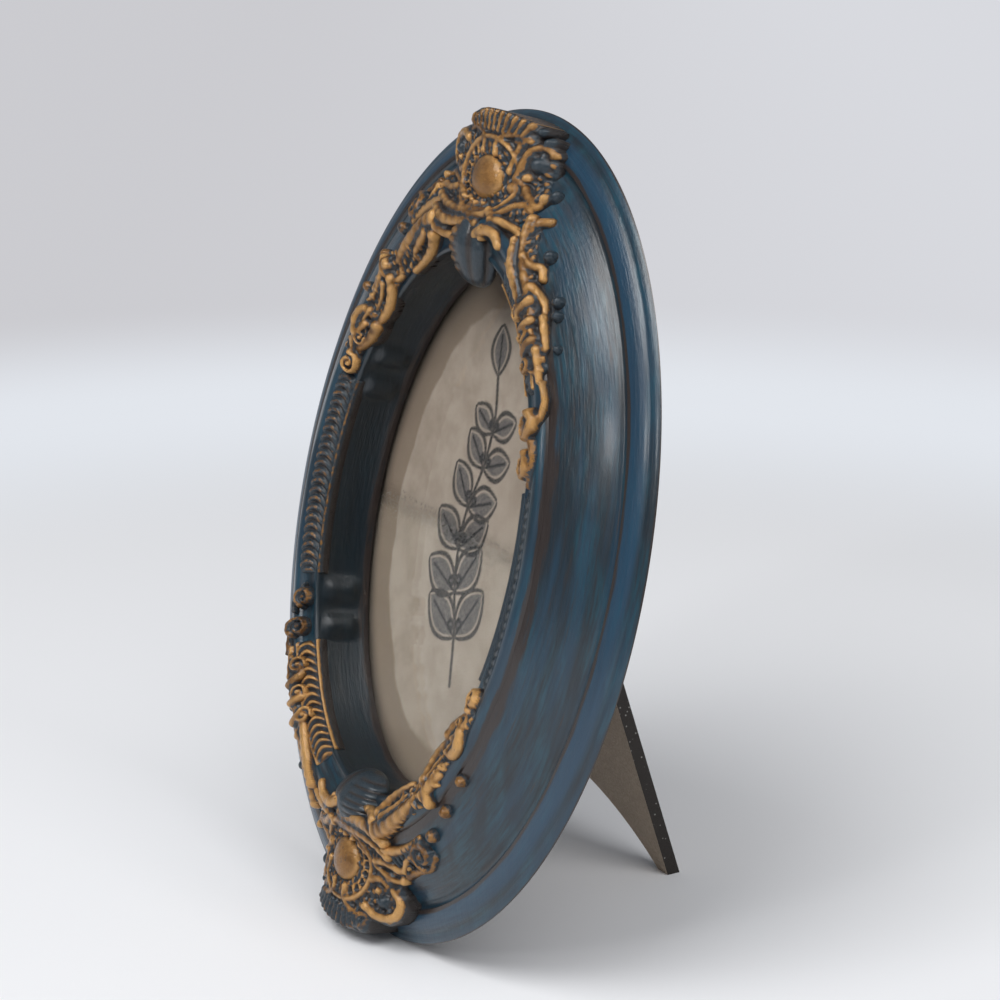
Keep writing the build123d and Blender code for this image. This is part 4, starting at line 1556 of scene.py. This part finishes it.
@dataclass(frozen=True)
class AgedPaper:
    """Mottled tan paper with a darker border, painted shade along its rim and a print in charcoal."""

    paper: Colour = (0.285, 0.235, 0.190)
    stain: Colour = (0.185, 0.143, 0.108)
    border: Colour = (0.150, 0.110, 0.078)
    # Painted shade along the rim of the sheet.
    shadow: Colour = (0.020, 0.015, 0.011)
    ink: Colour = (0.010, 0.010, 0.011)
    wash: Colour = (0.045, 0.045, 0.049)
    grain_fineness: float = 1500.0
    stain_share: float = 0.6
    border_level: float = 0.5
    border_fineness: float = 70.0
    border_share: float = 0.85
    wash_range: Pair = (0.7, 1.0)
    ink_range: Pair = (0.8, 1.0)
    grain_depth: float = 0.00002
    roughness: float = 0.8

    def material(self) -> Any:
        """Builds the material from the print, the border and the painted shade along the rim on the mesh."""
        material, shade = new_material("aged_paper")
        place = shade.place()
        grain = shade.effect("fine_grain", where=place, fineness=self.grain_fineness)
        border = shade.effect("rubbed_edge", where=place, mask=shade.attribute("border"),
                              level=self.border_level, fineness=self.border_fineness)
        mottled = shade.times(grain.outputs["Mottle"], self.stain_share)
        paper = shade.blend(mottled, self.paper, self.stain)
        paper = shade.blend(shade.times(border.outputs["Rubbed"], self.border_share), paper, self.border)
        # Painted shade along the rim of the sheet.
        paper = shade.blend(shade.attribute("dark"), paper, self.shadow)
        wash = shade.times(shade.attribute("wash"), shade.span(grain.outputs["Grain"], *self.wash_range))
        paper = shade.blend(wash, paper, self.wash)
        ink = shade.times(shade.attribute("ink"), shade.span(grain.outputs["Grain"], *self.ink_range))
        colour = shade.blend(ink, paper, self.ink)
        normal = shade.bump(grain.outputs["Grain"], self.grain_depth)
        shade.out(shade.surface(Base_Color=colour, Roughness=self.roughness, Normal=normal).outputs[0])
        return material


@dataclass(frozen=True)
class Fibreboard:
    """Pressed board with fibres and flecks, and dark sawn edges."""

    name: str
    face: Colour
    fibre: Colour
    edge: Colour = (0.028, 0.023, 0.020)
    fleck: Colour = (0.55, 0.53, 0.50)
    facing: tuple[float, float, float] = (0.0, 0.0, 1.0)
    flat_range: Pair = (0.55, 0.85)
    grain_fineness: float = 1700.0
    fibre_share: float = 0.5
    fleck_share: float = 0.5
    grain_depth: float = 0.00008
    roughness: float = 0.82

    def material(self) -> Any:
        """Builds the material; a face counts as an edge where it turns away from the board's own normal."""
        material, shade = new_material(self.name)
        coordinates = shade.add("ShaderNodeTexCoord")
        place = coordinates.outputs["Object"]
        grain = shade.effect("fine_grain", where=place, fineness=self.grain_fineness)
        facing = shade.add("ShaderNodeVectorMath", {0: coordinates.outputs["Normal"], 1: self.facing},
                           operation="DOT_PRODUCT")
        flat = shade.step(shade.value("ABSOLUTE", facing.outputs["Value"]), *self.flat_range)
        board = shade.blend(grain.outputs["Grain"], self.face, self.fibre)
        board = shade.blend(shade.times(grain.outputs["Mottle"], self.fibre_share), board, self.fibre)
        sawn = shade.blend(shade.times(grain.outputs["Fleck"], self.fleck_share), self.edge, self.fleck)
        colour = shade.blend(flat, sawn, board)
        normal = shade.bump(grain.outputs["Grain"], self.grain_depth)
        shade.out(shade.surface(Base_Color=colour, Roughness=self.roughness, Normal=normal).outputs[0])
        return material


@dataclass(frozen=True)
class BrushedSteel:
    """Plated steel with fine scratches and duller patches."""

    bright: Colour = (0.60, 0.59, 0.57)
    dull: Colour = (0.36, 0.345, 0.33)
    stretch: tuple[float, float, float] = (250.0, 3800.0, 3800.0)
    grain_fineness: float = 1600.0
    roughness: Pair = (0.24, 0.42)
    scratch_depth: float = 0.00001

    def material(self) -> Any:
        """Builds the material with its scratches along x."""
        material, shade = new_material("brushed_steel")
        place = shade.place()
        streaks = shade.effect("brush_streaks", where=shade.stretched(place, self.stretch), fineness=1.0)
        grain = shade.effect("fine_grain", where=place, fineness=self.grain_fineness)
        colour = shade.blend(grain.outputs["Mottle"], self.bright, self.dull)
        rough = shade.span(streaks.outputs["Streak"], *self.roughness)
        normal = shade.bump(streaks.outputs["Streak"], self.scratch_depth)
        body = shade.surface(Base_Color=colour, Roughness=rough, Metallic=1.0, Normal=normal)
        shade.out(body.outputs[0])
        return material


# The picture


@dataclass(frozen=True)
class PrintedInsert:
    """Sheet behind the glass: a leafy sprig in charcoal line on aged paper."""

    half_width: float = 41.8
    half_height: float = 60.55
    front: float = 2.9
    thickness: float = 0.3
    columns: int = 230
    rows: int = 340
    stem: Points = (
        (5.0, -33.0), (2.4, -22.0), (-1.8, -10.0), (-2.6, 2.0), (0.6, 14.0), (1.2, 24.0), (-1.0, 33.0))
    stem_points: int = 80
    line_width: float = 0.54
    line_fade: Pair = (0.55, 1.25)
    leaf_length: float = 14.5
    leaf_width: float = 4.6
    leaf_power: float = 0.85
    outline_weight: float = 0.85
    vein_range: Pair = (0.05, 0.82)
    vein_weight: float = 1.4
    leaf_wash: float = 0.9
    wash_edge: Pair = (0.9, 1.3)
    leaf_pairs: int = 6
    first_pair: float = 0.16
    pair_step: float = 0.125
    pair_shrink: float = 0.07
    leaf_turn: float = 48.0
    turn_step: float = 3.0
    tip_turn: float = 100.0
    tip_size: float = 0.75
    bud_turn: float = 30.0
    bud_reach: float = 3.1
    bud_radius: float = 0.95
    bud_wash: Pair = (0.5, 0.8)
    border_range: Pair = (0.70, 0.86)
    border_lean: float = 0.08
    # Painted shade along the rim of the sheet, reaching further in on the left.
    rim_shade_range: Pair = (0.87, 1.0)
    rim_shade_lean: float = 0.05
    sharp_angle: float = 50.0

    def build(self, place: Placement) -> Any:
        """Oval sheet without poles: a square grid squeezed into the oval.

        With u and v from -1 to 1, x is u times the root of 1 - v*v/2 and y is v times the root of 1 - u*u/2.

        Args:
            place: Where the frame lies in the model.

        Returns:
            Object with the print, the border and the painted shade along the rim on its points.
        """
        u, v = np.meshgrid(np.linspace(-1, 1, self.columns), np.linspace(-1, 1, self.rows), indexing="ij")
        x = self.half_width * u * np.sqrt(1 - v * v / 2)
        y = self.half_height * v * np.sqrt(1 - u * u / 2)
        ink, wash = self.sprig(x, y)
        off = np.hypot(x / self.half_width, y / self.half_height)
        border = eased(off - self.border_lean * x / self.half_width, *self.border_range)
        # Painted shade along the rim, reaching further in on the left.
        dark = eased(off - self.rim_shade_lean * x / self.half_width, *self.rim_shade_range)
        number = np.arange(x.size).reshape(x.shape)
        corners = (number[:-1, :-1], number[1:, :-1], number[1:, 1:], number[:-1, 1:])
        quads = np.stack(corners, -1).reshape(-1, 4)
        rim = np.concatenate((number[:-1, 0], number[-1, :-1], number[:0:-1, -1], number[0, :0:-1]))
        back = np.arange(x.size, x.size + len(rim))
        walls = np.stack((rim, back, np.roll(back, -1), np.roll(rim, -1)), -1)
        front_points = np.stack((x, y, np.full(x.shape, self.front)), -1).reshape(-1, 3)
        back_points = front_points[rim] - (0.0, 0.0, self.thickness)
        faces = quads.tolist() + walls.tolist() + [back[::-1].tolist()]
        attributes = {}
        for label, values in (("ink", ink), ("wash", wash), ("border", border), ("dark", dark)):
            attributes[label] = np.concatenate((values.ravel(), values.ravel()[rim]))
        points = place.to_model(np.vstack((front_points, back_points)))
        return make_object("printed_insert", points, faces, attributes, self.sharp_angle)

    def sprig(self, x: Array, y: Array) -> tuple[Array, Array]:
        """Line drawing: a bowed stem, pairs of pointed leaves with a vein, and round buds between them.

        A leaf's half width is its greatest one times a power of the sine of its length share, and ink fades
        out with the distance from an outline.

        Args:
            x: Places across the sheet.
            y: Places up the sheet.

        Returns:
            Shares of ink and of grey wash.
        """
        stem = smooth_line(self.stem, self.stem_points)
        ink = self.drawn(self.distance(x, y, stem))
        wash = np.zeros_like(x)
        for i in range(self.leaf_pairs):
            at = int((self.first_pair + self.pair_step * i) * (self.stem_points - 1))
            foot = stem[at]
            way = stem[at + 1] - stem[at]
            lean = math.atan2(way[1], way[0])
            size = 1.0 - self.pair_shrink * i
            for side in (-1, 1):
                turn = lean + side * math.radians(self.leaf_turn + self.turn_step * i)
                edge, inside = self.leaf(x, y, foot, turn, size)
                ink = np.maximum(ink, edge)
                wash = np.maximum(wash, inside)
                bud_turn = lean - side * math.radians(self.bud_turn)
                bud = foot + self.bud_reach * size * np.array((math.cos(bud_turn), math.sin(bud_turn)))
                gap = np.hypot(x - bud[0], y - bud[1])
                ink = np.maximum(ink, self.drawn(np.abs(gap - self.bud_radius * size)))
                wash = np.maximum(wash, 1 - eased(gap, *self.bud_wash))
        edge, inside = self.leaf(x, y, stem[-1], math.radians(self.tip_turn), self.tip_size)
        return np.maximum(ink, edge), np.maximum(wash, inside)

    def leaf(self, x: Array, y: Array, foot: Array, turn: float, size: float) -> tuple[Array, Array]:
        """Outline with vein, and inside, of one leaf."""
        dx, dy = x - foot[0], y - foot[1]
        along = (dx * math.cos(turn) + dy * math.sin(turn)) / (self.leaf_length * size)
        off = np.abs(dy * math.cos(turn) - dx * math.sin(turn))
        inside = (along > 0) & (along < 1)
        half = self.leaf_width * size * np.sin(math.pi * np.clip(along, 0.0, 1.0)) ** self.leaf_power
        outline = np.where(inside, self.drawn(np.abs(off - half) * self.outline_weight), 0.0)
        veined = (along > self.vein_range[0]) & (along < self.vein_range[1])
        vein = np.where(veined, self.drawn(off * self.vein_weight), 0.0)
        wash = np.where(inside, self.leaf_wash * eased(half - off, *self.wash_edge), 0.0)
        return np.maximum(outline, vein), wash

    def drawn(self, gap: Array) -> Array:
        """Ink of a line at a distance from its middle."""
        start, end = self.line_fade
        return 1 - eased(gap, start * self.line_width, end * self.line_width)

    def distance(self, x: Array, y: Array, line: Array) -> Array:
        """Distance from each place to a line of points."""
        gap = np.full(x.shape, np.inf)
        for start, end in zip(line[:-1], line[1:]):
            span = end - start
            share = np.clip(((x - start[0]) * span[0] + (y - start[1]) * span[1]) / (span @ span), 0.0, 1.0)
            gap = np.minimum(gap, np.hypot(x - start[0] - share * span[0], y - start[1] - share * span[1]))
        return gap


# Leg, back and fittings


@dataclass(frozen=True)
class BackAndLeg:
    """Backing board, card, easel leg and steel fittings, which keep their solid shapes."""

    leg_open_angle: float = 31.5
    leg_tones: tuple[Colour, Colour] = ((0.50, 0.41, 0.32), (0.34, 0.27, 0.205))
    board_tones: tuple[Colour, Colour] = ((0.155, 0.112, 0.076), (0.095, 0.066, 0.044))
    card_tones: tuple[Colour, Colour] = ((0.36, 0.35, 0.33), (0.27, 0.26, 0.25))

    def dress(self, place: Placement, glass: Any, steel: Any) -> None:
        """Gives each carried-over piece its finish.

        Args:
            place: Where the frame lies in the model.
            glass: Finish of the pane.
            steel: Finish of the fittings.
        """
        forward = tuple(place.axes[2])
        swing = Matrix.Rotation(math.radians(self.leg_open_angle), 3, "X")
        leg_facing = tuple(swing @ Vector(forward))
        finishes = {
            "easel_leg": Fibreboard("leg_board", *self.leg_tones, facing=leg_facing).material(),
            "backing_board": Fibreboard("back_board", *self.board_tones, facing=forward).material(),
            "filler_card": Fibreboard("grey_card", *self.card_tones, facing=forward).material(),
            "glass_pane": glass,
        }
        for name, node in frame["nodes"].items():
            finish = finishes.get(name)
            if finish is None and name.startswith(("hinge_", "turn_button")):
                finish = steel
            if finish is not None:
                for holder in node.material_slots:
                    holder.material = finish
                log.info("%s: dressed as %s", name, finish.name)


# Studio


@dataclass(frozen=True)
class Lamp:
    """Square soft lamp that looks at the frame."""

    name: str
    place: tuple[float, float, float]
    size: float
    power: float
    colour: Colour = (1.0, 1.0, 1.0)


@dataclass(frozen=True)
class Studio:
    """Pale floor, soft lamps and the camera."""

    camera_offset: tuple[float, float, float] = (0.5063, -0.28881, 0.18127)
    camera_turn: float = 59.94
    camera_drop: float = 16.67
    lens: float = 103.97
    sensor: float = 36.0
    aim: tuple[float, float, float] = (0.0, 0.0, 0.09)
    floor_start: float = 0.05
    floor_radius: float = 14.0
    floor_rings: int = 40
    floor_columns: int = 96
    floor_roughness: float = 0.75
    near_tone: Colour = (0.88, 0.885, 0.905)
    # Painted light on the glow: lighter in a band, darker on the left than on the right.
    band_tone: Colour = (0.76, 0.79, 0.84)
    left_wall: Colour = (0.60, 0.60, 0.63)
    right_wall: Colour = (0.69, 0.70, 0.74)
    floor_end: Pair = (0.26, 0.42)
    wall_start: Pair = (0.44, 0.60)
    wall_turn: Pair = (-0.2, 0.3)
    lamps: tuple[Lamp, ...] = (
        Lamp("key_softbox", (0.30, -0.85, 1.40), 0.9, 17.0),
        Lamp("front_softbox", (0.45, -1.15, 0.72), 0.16, 1.5),
        Lamp("right_softbox", (0.95, 0.05, 1.30), 1.0, 10.0),
    )
    sky: Colour = (0.84, 0.87, 0.92)
    sky_strength: float = 0.24
    seen_strength: float = 0.85

    def build(self, origin: Array) -> None:
        """Adds everything that isn't the object.

        Args:
            origin: Middle of the moulding's back face, from which the camera's place is measured.
        """
        self.add_floor()
        for lamp in self.lamps:
            self.add_lamp(lamp)
        self.add_world()
        self.add_camera(origin)

    def add_floor(self) -> None:
        """Round floor whose rings grow outwards, lit near the object and glowing with painted light further
        off.
        """
        rings = np.geomspace(self.floor_start, self.floor_radius, self.floor_rings)
        angle = np.linspace(0.0, 2 * math.pi, self.floor_columns, endpoint=False)
        reach, angle = np.meshgrid(rings, angle, indexing="ij")
        points = np.stack((reach * np.cos(angle), reach * np.sin(angle), np.zeros_like(reach)), -1)
        number = np.arange(reach.size).reshape(reach.shape)
        beside = np.roll(number, -1, 1)
        quads = np.stack((number[:-1], number[1:], beside[1:], beside[:-1]), -1).reshape(-1, 4)
        floor = make_object("floor", points.reshape(-1, 3), quads.tolist() + [number[0].tolist()], {}, 60.0)
        material, shade = new_material("pale_floor")
        where = shade.place()
        away = shade.add("ShaderNodeVectorMath", {0: where}, operation="LENGTH").outputs["Value"]
        turn = math.radians(self.camera_turn)
        sideways = shade.add("ShaderNodeVectorMath", {0: where, 1: (math.cos(turn), math.sin(turn), 0.0)},
                             operation="DOT_PRODUCT").outputs["Value"]
        # Painted light on the far floor and backdrop: a lighter band next to the lit floor, then darker to
        # the left.
        wall = shade.blend(shade.step(sideways, *self.wall_turn), self.left_wall, self.right_wall)
        tone = shade.blend(shade.step(away, *self.wall_start), self.band_tone, wall)
        ground = shade.surface(Base_Color=(*self.near_tone, 1.0), Roughness=self.floor_roughness)
        glow = shade.add("ShaderNodeEmission", {"Color": tone, "Strength": 1.0})
        path = shade.add("ShaderNodeLightPath")
        share = shade.times(shade.step(away, *self.floor_end), path.outputs["Is Camera Ray"])
        mixed = shade.add("ShaderNodeMixShader", {0: share, 1: ground.outputs[0], 2: glow.outputs[0]})
        shade.out(mixed.outputs[0])
        floor.data.materials.append(material)

    def add_lamp(self, lamp: Lamp) -> None:
        """Adds one lamp, turned towards the frame."""
        light = bpy.data.lights.new(lamp.name, "AREA")
        light.size = lamp.size
        light.energy = lamp.power
        light.color = lamp.colour
        holder = bpy.data.objects.new(lamp.name, light)
        away = np.array(lamp.place) - np.array(self.aim)
        flat = math.hypot(away[0], away[1])
        holder.rotation_euler = Euler((math.atan2(flat, away[2]), 0.0, math.atan2(away[0], -away[1])))
        holder.location = lamp.place
        bpy.context.scene.collection.objects.link(holder)

    def add_world(self) -> None:
        """Soft even light from all round, brighter where the camera sees it."""
        world = bpy.data.worlds.new("studio")
        world.use_nodes = True
        bpy.context.scene.world = world
        shade = Shade(world.node_tree)
        tone = (*self.sky, 1.0)
        sky = shade.add("ShaderNodeBackground", {"Color": tone, "Strength": self.sky_strength})
        seen = shade.add("ShaderNodeBackground", {"Color": tone, "Strength": self.seen_strength})
        path = shade.add("ShaderNodeLightPath")
        mixed = shade.add("ShaderNodeMixShader", {
            0: path.outputs["Is Camera Ray"], 1: sky.outputs[0], 2: seen.outputs[0]})
        shade.add("ShaderNodeOutputWorld", {"Surface": mixed.outputs[0]})

    def add_camera(self, origin: Array) -> None:
        """Camera at the viewing angle of the photograph.

        Args:
            origin: Middle of the moulding's back face.
        """
        data = bpy.data.cameras.new("camera")
        data.lens = self.lens
        data.sensor_width = self.sensor
        data.clip_start = 0.01
        holder = bpy.data.objects.new("camera", data)
        holder.location = tuple(origin + np.array(self.camera_offset))
        tilt = math.radians(90.0 - self.camera_drop)
        holder.rotation_euler = Euler((tilt, 0.0, math.radians(self.camera_turn)))
        bpy.context.scene.collection.objects.link(holder)
        bpy.context.scene.camera = holder


def add_ornament(oval: Oval, place: Placement, gilding: Any) -> None:
    """Builds every casting of the relief and sets it on the moulding.

    Args:
        oval: The moulding.
        place: Where the frame lies in the model.
        gilding: Finish of the relief.
    """
    crest = Cartouche(oval)
    base = Cartouche(oval, crown_gild=0.4)
    long = long_spray(oval)
    knobbed = knobbed_spray(oval)
    right_pair = ScrollPair(oval, ((37.6, 29.8), (39.0, 22.0)), 3.1, 0.85)
    left_pair = ScrollPair(oval, ((36.6, 33.4), (37.8, 26.8)), 2.3, 0.5)
    left_band = GadroonBand(oval, (-0.062, 0.056), edge_gild=0.45)
    right_band = GadroonBand(oval, (-0.062, 0.044), rib_rise=0.5, edge_gild=0.0)
    upper_band = GadroonBand(oval, (0.094, 0.186), True)
    castings = {
        "crest_cartouche": crest.shield(Half.UPPER),
        "crest_boss": crest.dome(Half.UPPER),
        "upper_left_spray": long.relief(Half.UPPER),
        "upper_right_spray": knobbed.relief(Half.UPPER),
        "right_volutes": right_pair.relief(Half.UPPER),
        "right_gadroon_band": right_band.relief(Half.UPPER, 0.0),
        "upper_right_gadroon_band": upper_band.relief(Half.UPPER, 0.3),
        "base_cartouche": base.shield(Half.LOWER),
        "base_boss": base.dome(Half.LOWER),
        "lower_right_spray": long.relief(Half.LOWER),
        "lower_left_spray": knobbed.relief(Half.LOWER),
        "left_volutes": left_pair.relief(Half.LOWER),
        "left_gadroon_band": left_band.relief(Half.LOWER, 0.45),
        "lower_left_gadroon_band": upper_band.relief(Half.LOWER, 0.95),
    }
    for node, relief in castings.items():
        mount(relief.build(node + "_casting", place), gilding, "frame", "gilt", node)
    drops = (("crest_drop", Half.UPPER, 1.0, 51.0), ("base_drop", Half.LOWER, 0.2, 54.0))
    for node, half, gild, tip in drops:
        mount(Drop(tip=tip).build(node + "_casting", half, gild, place), gilding, "frame", "gilt", node)


def main() -> None:
    """Builds the frame's looks and the studio."""
    logging.basicConfig(level=logging.INFO, format="%(name)s %(message)s")
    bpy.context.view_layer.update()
    for make_effect in (make_brush_effect, make_rub_effect, make_grain_effect):
        make_effect()
    oval = Oval()
    place = Placement.from_frame(PANE_MIDDLE_DEPTH)
    mount(Moulding(oval).build(place), BrushedPaint().material(), "frame", "moulding_paint", "frame_moulding")
    add_ornament(oval, place, RubbedGilding().material())
    mount(PrintedInsert().build(place), AgedPaper().material(), "frame", "insert_paper", "picture_insert")
    BackAndLeg().dress(place, PaneGlass().material(), BrushedSteel().material())
    Studio().build(place.origin)
    bpy.context.scene.view_settings.view_transform = "Standard"


if __name__ == "__main__":
    main()
